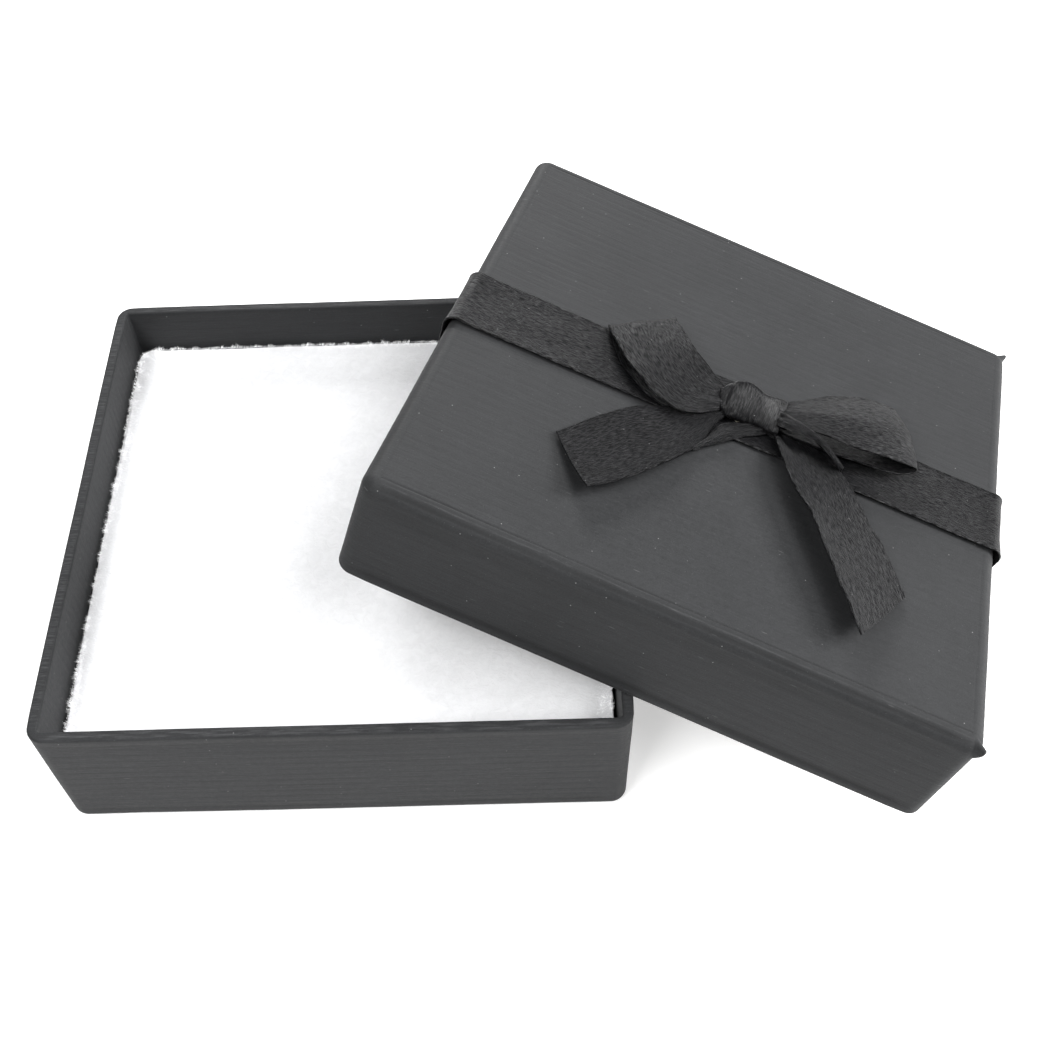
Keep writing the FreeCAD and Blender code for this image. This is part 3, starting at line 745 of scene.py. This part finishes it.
LEFT_TAIL = (
    [(-0.6, -3.6, 1.3), (-1.9, -6.4, 1.6), (-2.8, -10.2, 1.4), (-3.9, -13.4, 1.3), (-6.2, -18.0, 2.2),
     (-9.2, -22.7, 2.5), (-13.2, -28.2, 2.9), (-16.9, -32.2, 3.4)],
    [(-0.6, -2.6, 1.8), (-2.6, -4.6, 1.8), (-4.2, -7.6, 1.7), (-6.0, -10.4, 1.6), (-8.8, -14.4, 1.6),
     (-12.4, -17.6, 1.5), (-16.6, -22.6, 1.6), (-20.2, -27.0, 1.7)],
    [(-0.8, -1.4, 1.6), (-3.2, -2.6, 1.4), (-6.0, -4.6, 1.2), (-8.6, -6.2, 1.1), (-12.0, -8.3, 1.2),
     (-15.7, -11.4, 1.2), (-19.8, -16.4, 1.0), (-23.6, -21.4, 0.6)],
)
LEFT_TAIL_TURN = (
    [(7.0, -2.4, 1.0), (5.1, -4.3, 0.8), (3.1, -5.9, 0.8), (0.6, -8.5, 0.9), (-2.0, -11.3, 1.0),
     (-4.1, -14.0, 1.2)],
    [(6.2, -1.9, 1.5), (4.4, -3.5, 1.4), (2.2, -5.2, 1.5), (-0.2, -7.6, 1.6), (-2.4, -10.8, 1.4),
     (-4.3, -13.8, 1.3)],
    [(5.6, -1.2, 1.4), (3.6, -2.7, 1.2), (0.8, -4.2, 1.0), (-1.6, -6.6, 1.0), (-3.0, -10.2, 1.0),
     (-4.5, -13.6, 1.1)],
)
# The right tail comes out of a hollow under its own fold, which stands up beside the knot.
RIGHT_TAIL = (
    [(6.8, -2.4, 0.8), (7.8, -6.2, 2.0), (9.3, -11.4, 3.2), (11.9, -16.6, 3.9), (14.8, -21.2, 4.4),
     (17.9, -27.3, 4.4), (21.1, -33.0, 4.3), (24.0, -38.3, 4.0)],
    [(8.0, -1.2, 0.7), (10.8, -3.2, 0.7), (13.2, -7.4, 2.0), (15.7, -12.0, 2.9), (18.2, -16.7, 2.7),
     (21.4, -21.6, 2.7), (24.8, -26.6, 2.6), (27.6, -31.6, 2.4)],
    [(9.0, 0.2, 0.8), (13.0, -1.2, 0.7), (16.4, -4.0, 1.0), (18.8, -7.4, 2.3), (21.6, -11.2, 2.2),
     (25.0, -15.4, 1.5), (28.2, -19.9, 1.2), (30.7, -25.0, 1.0)],
)
RIGHT_TAIL_TURN = (
    [(6.6, -2.4, 2.4), (8.9, -4.1, 3.8), (11.1, -3.9, 4.0), (14.2, -4.7, 3.8), (17.8, -6.5, 2.6)],
    [(6.8, -0.6, 3.4), (9.3, -2.6, 4.7), (11.6, -3.2, 4.7), (14.7, -4.3, 4.2), (18.0, -6.2, 2.9)],
    [(7.2, 1.2, 2.4), (10.4, -0.6, 2.6), (13.0, -1.6, 2.2), (16.0, -3.2, 1.6), (18.4, -5.4, 1.4)],
)


def strip_surface(rails, across):
    """A ribbon through its three rails, and how far along it each row of points lies."""
    dense = np.linspace(0, len(rails[0]) - 1, 1200)
    travel = travel_along(spline(rails[1], dense))
    even = np.linspace(0, travel[-1], round(travel[-1] / STRIP_STEP) + 1)
    places = np.interp(even, travel, dense)
    lines = np.array([spline(rail, places) for rail in rails])
    surface = spline(lines.reshape(3, -1), across / RIBBON_HALF + 1).reshape(len(across), -1, 3)
    return surface.swapaxes(0, 1), even


def relieved(surface, travel, across, gathers, seed):
    """Add pleats that run out from each gathered end, and the small waves of a soft ribbon."""
    lift = unit(np.cross(np.gradient(surface, axis=0), np.gradient(surface, axis=1)))
    w = across / RIBBON_HALF
    pleats = np.sin(w * 7.5 + 0.8) + 0.6 * np.sin(w * 13.0 + 2.1)
    flat = pairs(travel, across)
    height = 0.035 * waves(flat * np.array([0.6, 1.0]), 4.5, seed)
    height = height + 0.014 * waves(flat * np.array([0.7, 1.4]), 1.7, seed + 1)
    height = height + 0.05 * waves(flat * np.array([1.0, 0.15]), 6.0, seed + 2) * (np.abs(w) ** 3)
    for gather in gathers:
        fade = np.exp(-np.abs(travel - gather) / 3.4)
        height = height + 0.16 * fade[:, None] * pleats
    return surface + lift * height[..., None]


def bow_strips(face_satin, back_satin):
    """Loops, tails and turned folds: name, rails, satin, gathered at both ends, seed."""
    strips = (("bow_left_loop", LEFT_LOOP, face_satin, True, 71),
              ("bow_right_loop", RIGHT_LOOP, face_satin, True, 81),
              ("bow_left_tail", LEFT_TAIL, back_satin, False, 91),
              ("bow_left_tail_turn", LEFT_TAIL_TURN, face_satin, True, 97),
              ("bow_right_tail", RIGHT_TAIL, face_satin, False, 101),
              ("bow_right_tail_turn", RIGHT_TAIL_TURN, face_satin, False, 103))
    across = across_columns(41)
    for name, rails, material, both_gathered, seed in strips:
        surface, travel = strip_surface(rails, across)
        gathers = (0.0, travel[-1]) if both_gathered else (0.0,)
        surface = relieved(surface, travel, across, gathers, seed)
        ribbon_piece(name, surface, travel, across, material, "bow_ribbon")


# Sections of the knot: a place along the band, and a ring of (across it, height) points: front
# foot, hollow under the front ridge, front ridge, slope, crest, back edge and back foot.
KNOT_SECTIONS = (
    (-2.9, ((-2.0, 0.7), (-2.7, 1.9), (-2.9, 3.1), (-2.4, 4.0), (-1.6, 4.5), (-0.6, 3.6), (-0.2, 0.8))),
    (-1.6, ((-2.6, 0.6), (-3.8, 1.3), (-4.3, 2.5), (-2.4, 4.3), (-0.3, 5.2), (0.8, 4.0), (1.0, 0.7))),
    (1.3, ((-2.6, 0.6), (-3.5, 1.2), (-3.9, 2.1), (-1.9, 4.1), (0.5, 5.2), (1.7, 4.0), (1.9, 0.7))),
    (3.6, ((-2.4, 0.6), (-3.2, 1.2), (-3.5, 2.1), (-1.8, 3.9), (-0.1, 4.9), (1.4, 4.0), (2.0, 0.7))),
    (5.6, ((-2.4, 0.6), (-3.2, 1.1), (-3.5, 2.0), (-1.5, 3.5), (0.8, 4.4), (2.0, 3.6), (2.4, 0.7))),
    (7.3, ((-2.7, 0.6), (-3.5, 1.0), (-3.7, 1.9), (-1.3, 3.2), (1.5, 3.9), (2.5, 3.2), (2.7, 0.7))),
)
KNOT_RIDGE_TURN = 2 / 7    # where the front ridge lies round the ring
KNOT_GIRTH = 20.0
# Rows that round each end over and draw it in: share of the end ring's size, reach beyond it.
KNOT_LIP = ((0.96, 0.16), (0.88, 0.20), (0.76, 0.05), (0.45, -0.5))


def knot_tube(along, around):
    """A smooth tube through the knot's sections, as rows of points."""
    rings = []
    for _, ring in KNOT_SECTIONS:
        looped = np.array(ring[-3:] + ring + ring[:4])
        rings.append(spline(looped, np.linspace(3, 3 + len(ring), around + 1))[:-1])
    rings = np.array(rings)
    spots = np.array([spot for spot, _ in KNOT_SECTIONS])
    places = np.linspace(0, len(spots) - 1, along)
    surface = np.empty((along, around, 3))
    surface[..., 0] = spline(spots[:, None], places)
    surface[..., 1:] = spline(rings.reshape(len(spots), -1), places).reshape(along, around, 2)
    return surface


def knot_wrap(material):
    """The strip wound round the middle: a soft closed tube, crumpled along its front ridge."""
    around, along = 140, 90
    surface = knot_tube(along, around)
    outward = unit((surface - surface.mean(axis=1, keepdims=True)) * np.array([0.0, 1.0, 1.0]))
    turn = np.linspace(0, 1, around, endpoint=False)
    across = surface[:, 0, 0]
    flat = pairs(across, turn * KNOT_GIRTH)
    folds = 0.05 * waves(flat * np.array([1.0, 0.12]), 4.0, 111)
    crumple = hump(turn[None], KNOT_RIDGE_TURN, 0.045) * waves(flat * np.array([1.0, 0.4]), 1.1, 113)
    left_step = -0.28 * (1 - soft_step(across, -1.9, -1.3))
    surface = surface + outward * (folds + 0.07 * crumple + left_step[:, None])[..., None]

    lips = []
    for end, way in ((0, -1), (along - 1, 1)):
        middle = surface[end].mean(axis=0)
        lips.append([middle + (surface[end] - middle) * share + np.array([reach * way, 0, 0])
                     for share, reach in KNOT_LIP])
    rows = [*reversed(lips[0]), *surface, *lips[1]]
    faces = [face[::-1] for face in grid_faces(len(rows), around, closed=True)]
    last = (len(rows) - 1) * around
    faces += [list(range(around)), list(range(last + around - 1, last - 1, -1))]
    piece = add_piece("knot_wrap", LID, np.concatenate(rows), faces, material, "lid",
                      "bow_knot", sharp_angle=80.0)
    spacing = np.ptp(across) / along
    width = np.arange(len(rows)) * spacing - RIBBON_HALF / 2
    add_uv(piece, pairs(width, turn * KNOT_GIRTH).reshape(-1, 2)[:, ::-1])


# ---- node helpers ----
# Those that take a node's output add to the tree that the output belongs to.

WHITE = (1.0, 1.0, 1.0, 1.0)


def set_input(socket, value):
    """Give an input a plain value or the output it takes."""
    if isinstance(value, bpy.types.NodeSocket):
        socket.id_data.links.new(value, socket)
    else:
        socket.default_value = value


def add_node(tree, kind, inputs=None, **settings):
    made = tree.nodes.new("ShaderNode" + kind)
    for key, value in settings.items():
        setattr(made, key, value)
    for key, value in (inputs or {}).items():
        set_input(made.inputs[key], value)
    return made


def feed(shader, **inputs):
    """Set a shader's inputs by name, with underscores for spaces."""
    for key, value in inputs.items():
        set_input(shader.inputs[key.replace("_", " ")], value)


def new_material(name):
    material = bpy.data.materials.new(name)
    material.use_nodes = True
    return material, material.node_tree


def finished(material, **inputs):
    """The material, with the inputs of its shader set."""
    feed(material.node_tree.nodes["Principled BSDF"], **inputs)
    return material


def object_place(tree):
    return add_node(tree, "TexCoord").outputs["Object"]


def vertex_field(tree, name, output="Vector"):
    return add_node(tree, "Attribute", attribute_name=name).outputs[output]


def stretched(vector, scale):
    return add_node(vector.id_data, "Mapping", {"Vector": vector, "Scale": scale}).outputs["Vector"]


def noise(vector, scale, detail=3.0, roughness=0.55, distortion=0.0):
    inputs = {"Vector": vector, "Scale": scale, "Detail": detail, "Roughness": roughness,
              "Distortion": distortion}
    return add_node(vector.id_data, "TexNoise", inputs).outputs["Fac"]


def remap(value, low, high, to_low=0.0, to_high=1.0):
    inputs = {"Value": value, "From Min": low, "From Max": high, "To Min": to_low, "To Max": to_high}
    return add_node(value.id_data, "MapRange", inputs).outputs["Result"]


def spread(value, low, high):
    """Turn a noise, most of which lies between 0.3 and 0.7, into a number from low to high."""
    return remap(value, 0.3, 0.7, low, high)


def combine(operation, first, second=0.0):
    return add_node(first.id_data, "Math", {0: first, 1: second}, operation=operation).outputs[0]


def times(first, *others):
    """Multiply an output by other outputs or plain numbers."""
    for other in others:
        first = combine("MULTIPLY", first, other)
    return first


def blend_colours(share, first, second):
    return add_node(share.id_data, "Mix", {0: share, 6: first, 7: second}, data_type="RGBA").outputs[2]


def shade_by(colour, factor):
    """Multiply a colour by the number that a node puts out."""
    return add_node(factor.id_data, "VectorMath", {0: colour, 3: factor}, operation="SCALE").outputs[0]


def bump(height, distance, strength, normal=None):
    inputs = {"Height": height, "Distance": distance, "Strength": strength}
    if normal is not None:
        inputs["Normal"] = normal
    return add_node(height.id_data, "Bump", inputs).outputs["Normal"]


def specks(vector, cell, radius, share, dimensions="3D"):
    """Scattered dots of uneven strength, one at most in each cell, in a share of the cells."""
    cells = add_node(vector.id_data, "TexVoronoi", {"Vector": vector, "Scale": 1.0 / cell},
                     voronoi_dimensions=dimensions)
    dot = remap(cells.outputs["Distance"], radius / cell, 0.6 * radius / cell)
    colour = add_node(vector.id_data, "SeparateColor", {"Color": cells.outputs["Color"]})
    chosen = remap(colour.outputs[0], 1.0 - share, 1.001 - share)
    return times(dot, chosen, remap(colour.outputs[1], 0.0, 1.0, 0.2, 1.0))


# ---- materials ----

PAPER_TONE = (0.0238, 0.0245, 0.0258)
SATIN_TONE = (0.0062, 0.0062, 0.0069)
# Colour of the painted highlight on the paper's ridge and rim crest.
HIGHLIGHT_PAPER = (0.16, 0.16, 0.165, 1.0)
PAPER_DUST = (0.40, 0.40, 0.40, 1.0)
SATIN_DUST = (0.30, 0.30, 0.30, 1.0)


def laid_paper():
    """Charcoal laid paper: mottled, fibrous, dusty on top, with painted light and shade on its laid lines
    and folds.
    """
    material, tree = new_material("charcoal_laid_paper")
    place = object_place(tree)
    sheet = vertex_field(tree, "sheet")
    cloudy = noise(place, 90.0, detail=4.0, roughness=0.6)
    grainy = noise(place, 1500.0, detail=3.0, roughness=0.7)
    fine = noise(place, 4200.0, detail=2.0, roughness=0.7)
    streaks = noise(stretched(sheet, (0.22, 2.6, 1.0)), 1.0, detail=4.0, roughness=0.7)
    # Painted light and shade: the colour is a little lighter and darker along the laid lines, as their ribs
    # catch the light.
    lines_at = add_node(tree, "SeparateXYZ", {0: sheet}).outputs[1]
    lines = combine("SINE", times(lines_at, 2 * math.pi / RIB_PITCH))
    # Painted shade: darker paper in the creases and under the rim.
    fold_shade = vertex_field(tree, "fold_shade", "Fac")
    shade = times(spread(cloudy, 0.93, 1.07), remap(grainy, 0.25, 0.75, 0.84, 1.18),
                  spread(streaks, 0.90, 1.10), spread(fine, 0.86, 1.14),
                  remap(lines, -1.0, 1.0, 0.985, 1.015), remap(fold_shade, 0.0, 1.0, 1.0, 0.55))
    # Painted highlight on the ridge and the rim's crest, broken up by the streaks.
    painted_highlight = times(vertex_field(tree, "painted_highlight", "Fac"), remap(streaks, 0.45, 0.65))
    base = blend_colours(times(painted_highlight, 0.2), shade_by(PAPER_TONE, shade), HIGHLIGHT_PAPER)
    lint = specks(sheet, 4.2, 0.10, 0.22, "2D")
    powder = specks(sheet, 1.3, 0.06, 0.30, "2D")
    threads = specks(stretched(sheet, (0.16, 0.9, 1.0)), 1.0, 0.09, 0.04, "2D")
    dust = combine("MAXIMUM", times(lint, 0.5), times(powder, 0.12))
    dust = combine("MAXIMUM", dust, times(threads, 0.10))
    base = blend_colours(dust, base, PAPER_DUST)
    fibre_bump = bump(grainy, 0.00003, 0.5)
    streak_bump = bump(streaks, 0.00010, 0.5, fibre_bump)
    cloud_bump = bump(noise(place, 320.0, detail=4.0), 0.00006, 0.35, streak_bump)
    return finished(material, Base_Color=base, Roughness=spread(grainy, 0.58, 0.74),
                    Specular_IOR_Level=0.21, Sheen_Weight=0.04, Sheen_Roughness=0.5, Normal=cloud_bump)


def satin(name, gloss, relief=1.0):
    """Black satin ribbon: lengthwise threads, short lit streaks and dashed woven edges."""
    material, tree = new_material(name)
    cloth = add_node(tree, "UVMap", uv_map="cloth").outputs["UV"]
    across = add_node(tree, "SeparateXYZ", {0: cloth}).outputs[1]
    threads = noise(stretched(cloth, (0.7, 7.0, 1.0)), 1.0, detail=3.0, roughness=0.65)
    streaks = noise(stretched(cloth, (0.9, 6.0, 1.0)), 1.0, detail=3.0, roughness=0.6, distortion=0.3)
    crinkle = noise(stretched(cloth, (1.6, 2.4, 1.0)), 1.0, detail=3.0, roughness=0.6)
    patches = noise(stretched(cloth, (0.12, 0.3, 1.0)), 1.0, detail=2.0)
    edge = combine("DIVIDE", combine("ABSOLUTE", across), RIBBON_HALF)
    selvedge = remap(edge, 0.93, 0.95)
    loops = add_node(tree, "TexWave", {"Vector": stretched(cloth, (1.0, 0.0, 0.0)), "Scale": 0.19,
                                       "Distortion": 1.5, "Detail": 2.0, "Detail Scale": 2.0})
    dashes = times(selvedge, remap(loops.outputs["Fac"], 0.35, 0.65))
    # The streaks lighten and darken the colour as well as the shine: painted highlight and shade.
    shade = times(remap(threads, 0.38, 0.62, 0.75, 1.25),
                  remap(streaks, 0.38, 0.62, 1 - 0.3 * relief, 1 + 0.3 * relief),
                  spread(patches, 0.8, 1.2), remap(dashes, 0.0, 1.0, 1.0, 0.45))
    dust = specks(cloth, 3.5, 0.10, 0.30, "2D")
    base = blend_colours(times(dust, 0.6), shade_by(SATIN_TONE, shade), SATIN_DUST)
    thread_bump = bump(threads, 0.00006, 0.9 * relief)
    streak_bump = bump(streaks, 0.00015, 0.8 * relief, thread_bump)
    crinkle_bump = bump(crinkle, 0.00010, 0.4 * relief, streak_bump)
    edge_bump = bump(dashes, 0.00008, 0.6, crinkle_bump)
    tangent = add_node(tree, "Tangent", direction_type="UV_MAP", uv_map="cloth").outputs[0]
    shine = times(remap(streaks, 0.42, 0.70, 1 - 0.6 * relief, 1 + 2.2 * relief),
                  remap(threads, 0.38, 0.62, 1 - 0.3 * relief, 1 + 0.3 * relief), 0.06 + 0.09 * gloss)
    rough = spread(streaks, 0.56 - 0.18 * gloss, 0.68 - 0.18 * gloss)
    return finished(material, Base_Color=base, Roughness=rough, Specular_IOR_Level=shine,
                    Anisotropic=0.65, Tangent=tangent, Sheen_Weight=0.012, Sheen_Roughness=0.4,
                    Normal=edge_bump)


def brushed_face():
    """White brushed fibre: soft, matte, with a faint felted mottle and a faint painted glow."""
    material, tree = new_material("white_brushed_fibre")
    place = object_place(tree)
    felt = noise(place, 700.0, detail=5.0, roughness=0.7, distortion=0.8)
    cloudy = noise(place, 70.0, detail=3.0)
    tangle = noise(stretched(place, (500.0, 1600.0, 900.0)), 1.0, detail=3.0, distortion=2.0)
    shade = times(spread(felt, 0.93, 1.03), remap(cloudy, 0.35, 0.65, 0.97, 1.02))
    return finished(material, Base_Color=shade_by((0.86, 0.865, 0.88), shade), Roughness=0.95,
                    Specular_IOR_Level=0.1, Sheen_Weight=0.35, Sheen_Roughness=0.6, Emission_Color=WHITE,
                    Emission_Strength=PAINTED_FACE_GLOW, Normal=bump(tangle, 0.0001, 0.5, bump(felt, 0.00025, 0.6)))


def nap():
    """Loose white fibres, bright with a painted glow that stands in for light scattering through them."""
    material, tree = new_material("white_nap")
    place = object_place(tree)
    shade = spread(noise(place, 900.0, detail=3.0), 0.90, 1.03)
    return finished(material, Base_Color=shade_by((0.92, 0.92, 0.93), shade), Roughness=0.9,
                    Specular_IOR_Level=0.1, Emission_Color=WHITE, Emission_Strength=PAINTED_NAP_GLOW,
                    Normal=bump(noise(place, 5000.0), 0.00002, 0.5))


def foam():
    """White open-cell foam with small pores."""
    material, tree = new_material("white_foam")
    place = object_place(tree)
    small, large = [add_node(tree, "TexVoronoi", {"Vector": place, "Scale": scale}).outputs["Distance"]
                    for scale in (1600.0, 620.0)]
    shade = times(remap(small, 0.0, 0.5, 0.80, 1.0), spread(noise(place, 120.0), 0.95, 1.0))
    return finished(material, Base_Color=shade_by((0.84, 0.84, 0.82), shade), Roughness=0.9,
                    Specular_IOR_Level=0.15, Normal=bump(large, 0.0004, 0.5, bump(small, 0.00025, 0.8)))


def greyboard():
    """Raw recycled board: grey-brown pulp with dark and light flecks."""
    material, tree = new_material("raw_greyboard")
    place = object_place(tree)
    pulp = noise(place, 520.0, detail=5.0, roughness=0.7)
    cloudy = noise(place, 60.0, detail=3.0)
    shade = times(spread(pulp, 0.82, 1.15), spread(cloudy, 0.93, 1.06))
    base = shade_by((0.34, 0.32, 0.29), shade)
    dark = specks(stretched(place, (420.0, 900.0, 640.0)), 1.0, 0.30, 0.20)
    light = specks(stretched(place, (900.0, 380.0, 520.0)), 1.0, 0.28, 0.18)
    base = blend_colours(times(dark, 0.6), base, (0.10, 0.09, 0.08, 1.0))
    base = blend_colours(times(light, 0.5), base, (0.58, 0.56, 0.52, 1.0))
    return finished(material, Base_Color=base, Roughness=0.88, Specular_IOR_Level=0.2,
                    Normal=bump(pulp, 0.00012, 0.6))


def stay_tape():
    """Gummed kraft tape: brown paper with long fibres."""
    material, tree = new_material("kraft_stay_tape")
    place = object_place(tree)
    fibre = noise(stretched(place, (1500.0, 1500.0, 260.0)), 1.0, detail=4.0, roughness=0.65)
    shade = times(spread(fibre, 0.8, 1.15), spread(noise(place, 160.0), 0.92, 1.05))
    return finished(material, Base_Color=shade_by((0.50, 0.38, 0.25), shade), Roughness=0.7,
                    Specular_IOR_Level=0.25, Normal=bump(fibre, 0.00006, 0.6))


def set_glue():
    """Clouded hot-melt glue with a waxy, uneven face."""
    material, tree = new_material("set_glue")
    place = object_place(tree)
    ripple = noise(place, 700.0, detail=2.0)
    shade = spread(noise(place, 300.0), 0.85, 1.1)
    return finished(material, Base_Color=shade_by((0.60, 0.56, 0.46), shade),
                    Roughness=spread(ripple, 0.28, 0.45), Transmission_Weight=0.25, IOR=1.48,
                    Normal=bump(ripple, 0.0002, 0.5))


def pale_floor():
    """A plain white table, lit from within a little like a light table."""
    material, tree = new_material("pale_floor")
    place = object_place(tree)
    shade = spread(noise(place, 6.0), 0.985, 1.0)
    away = add_node(tree, "VectorMath", {0: place}, operation="LENGTH").outputs["Value"]
    seen_glow = remap(away, *FLOOR_FADE, FLOOR_GLOW_SEEN, 1.0)
    seen = add_node(tree, "LightPath").outputs["Is Camera Ray"]
    glow = add_node(tree, "Mix", {0: seen, 2: FLOOR_GLOW, 3: seen_glow}).outputs[0]
    return finished(material, Base_Color=shade_by((0.84, 0.84, 0.84), shade), Roughness=0.9,
                    Specular_IOR_Level=0.1, Emission_Color=WHITE, Emission_Strength=glow)


# ---- stage, light and camera ----

FLOOR_HALF = 4.0           # metres
FLOOR_DROP = 0.0001        # under the lowest point of the box
FLOOR_GLOW = 0.2           # what the floor gives the pieces
FLOOR_GLOW_SEEN = 0.5      # what the camera sees of it near the box
FLOOR_FADE = (0.25, 1.0)   # how far out, in metres, the floor fades into the white surround
SURROUND = 0.02            # what the pieces see of the room; the camera sees it white
LIGHT_SIDE = 0.42          # metres
LIGHT_REACH = 1.0          # from each softbox to the box
# Softboxes: name, azimuth from +X towards +Y and elevation in degrees, watts.
SOFTBOXES = (
    ("right_low", 0, 25, 12.5),
    ("right_high", 0, 55, 3.7),
    ("front_left", 225, 55, 7.6),
    ("front_right", 315, 55, 3.5),
    ("back", 90, 25, 8.0),
)
LENS_MM = 45.9
SENSOR_MM = 36.0
CAMERA_PLACE = (0.02847, -0.13067, 0.19366)
CAMERA_AIM = (0.02458, 0.01258, 0.0)
CAMERA_ROLL = -2.85        # degrees
CAMERA_SHIFT = (0.0205, -0.0043)


def stage():
    mesh = bpy.data.meshes.new("floor")
    corners = [(x * FLOOR_HALF, y * FLOOR_HALF, 0) for x, y in ((-1, -1), (1, -1), (1, 1), (-1, 1))]
    mesh.from_pydata(corners, [], [(0, 1, 2, 3)])
    mesh.materials.append(pale_floor())
    floor = bpy.data.objects.new("floor", mesh)
    floor.location.z = cad_box[0].z - FLOOR_DROP
    bpy.context.scene.collection.objects.link(floor)


def softbox(name, aim, azimuth, elevation, watts):
    turn, rise = math.radians(azimuth), math.radians(elevation)
    away = Vector((math.cos(turn) * math.cos(rise), math.sin(turn) * math.cos(rise), math.sin(rise)))
    light = bpy.data.lights.new(name, "AREA")
    light.shape = "SQUARE"
    light.size = LIGHT_SIDE
    light.energy = watts
    lamp = bpy.data.objects.new(name, light)
    lamp.location = aim + away * LIGHT_REACH
    lamp.rotation_mode = "QUATERNION"
    lamp.rotation_quaternion = (-away).to_track_quat("-Z", "Y")
    bpy.context.scene.collection.objects.link(lamp)


def lighting():
    world = bpy.data.worlds.new("studio")
    world.use_nodes = True
    tree = world.node_tree
    seen = add_node(tree, "LightPath").outputs["Is Camera Ray"]
    feed(tree.nodes["Background"], Color=WHITE, Strength=remap(seen, 0.0, 1.0, SURROUND, 1.0))
    bpy.context.scene.world = world
    aim = (cad_box[0] + cad_box[1]) / 2
    aim.z = cad_box[0].z + TRAY_HEIGHT * MM
    for name, azimuth, elevation, watts in SOFTBOXES:
        softbox(name, aim, azimuth, elevation, watts)
    bpy.context.scene.view_settings.view_transform = "Standard"


def camera():
    data = bpy.data.cameras.new("camera")
    data.lens = LENS_MM
    data.sensor_width = SENSOR_MM
    data.shift_x, data.shift_y = CAMERA_SHIFT
    data.clip_start, data.clip_end = 0.01, 20.0
    made = bpy.data.objects.new("camera", data)
    made.location = CAMERA_PLACE
    made.rotation_mode = "QUATERNION"
    level = (Vector(CAMERA_AIM) - Vector(CAMERA_PLACE)).to_track_quat("-Z", "Y")
    made.rotation_quaternion = level @ Quaternion((0, 0, 1), math.radians(CAMERA_ROLL))
    bpy.context.scene.collection.objects.link(made)
    bpy.context.scene.camera = made


# ---- build ----

def finish_cad_nodes():
    """Better materials on the CAD nodes that stay."""
    board, tape, glue = greyboard(), stay_tape(), set_glue()
    finishes = {"tray_board": board, "lid_board": board, "tray_corner_stays": tape,
                "lid_corner_stays": tape, "band_end_glue": glue, "bow_glue": glue}
    for node, material in finishes.items():
        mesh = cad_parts[node].data
        mesh.materials.clear()
        mesh.materials.append(material)


paper = laid_paper()
paper_shell("tray_paper", ROW, TRAY_HALF, TRAY_HEIGHT, TRAY_TURN_IN, inner_spacing=0.45, ears=(),
            material=paper, body="tray", stands_for="tray_wrap", seed=200)
paper_shell("lid_paper", LID_TURNED_OVER, LID_HALF, LID_HEIGHT, LID_TURN_IN, inner_spacing=0.6,
            ears=((1, 1), (1, -1)), material=paper, body="lid", stands_for="lid_wrap", seed=300)
pad_pieces()
bright_satin = satin("black_satin_face", gloss=1.0)
dull_satin = satin("black_satin_back", gloss=0.35)
satin_band(bright_satin)
bow_strips(bright_satin, dull_satin)
knot_wrap(satin("black_satin_knot", gloss=1.3, relief=0.5))
finish_cad_nodes()
stage()
lighting()
camera()
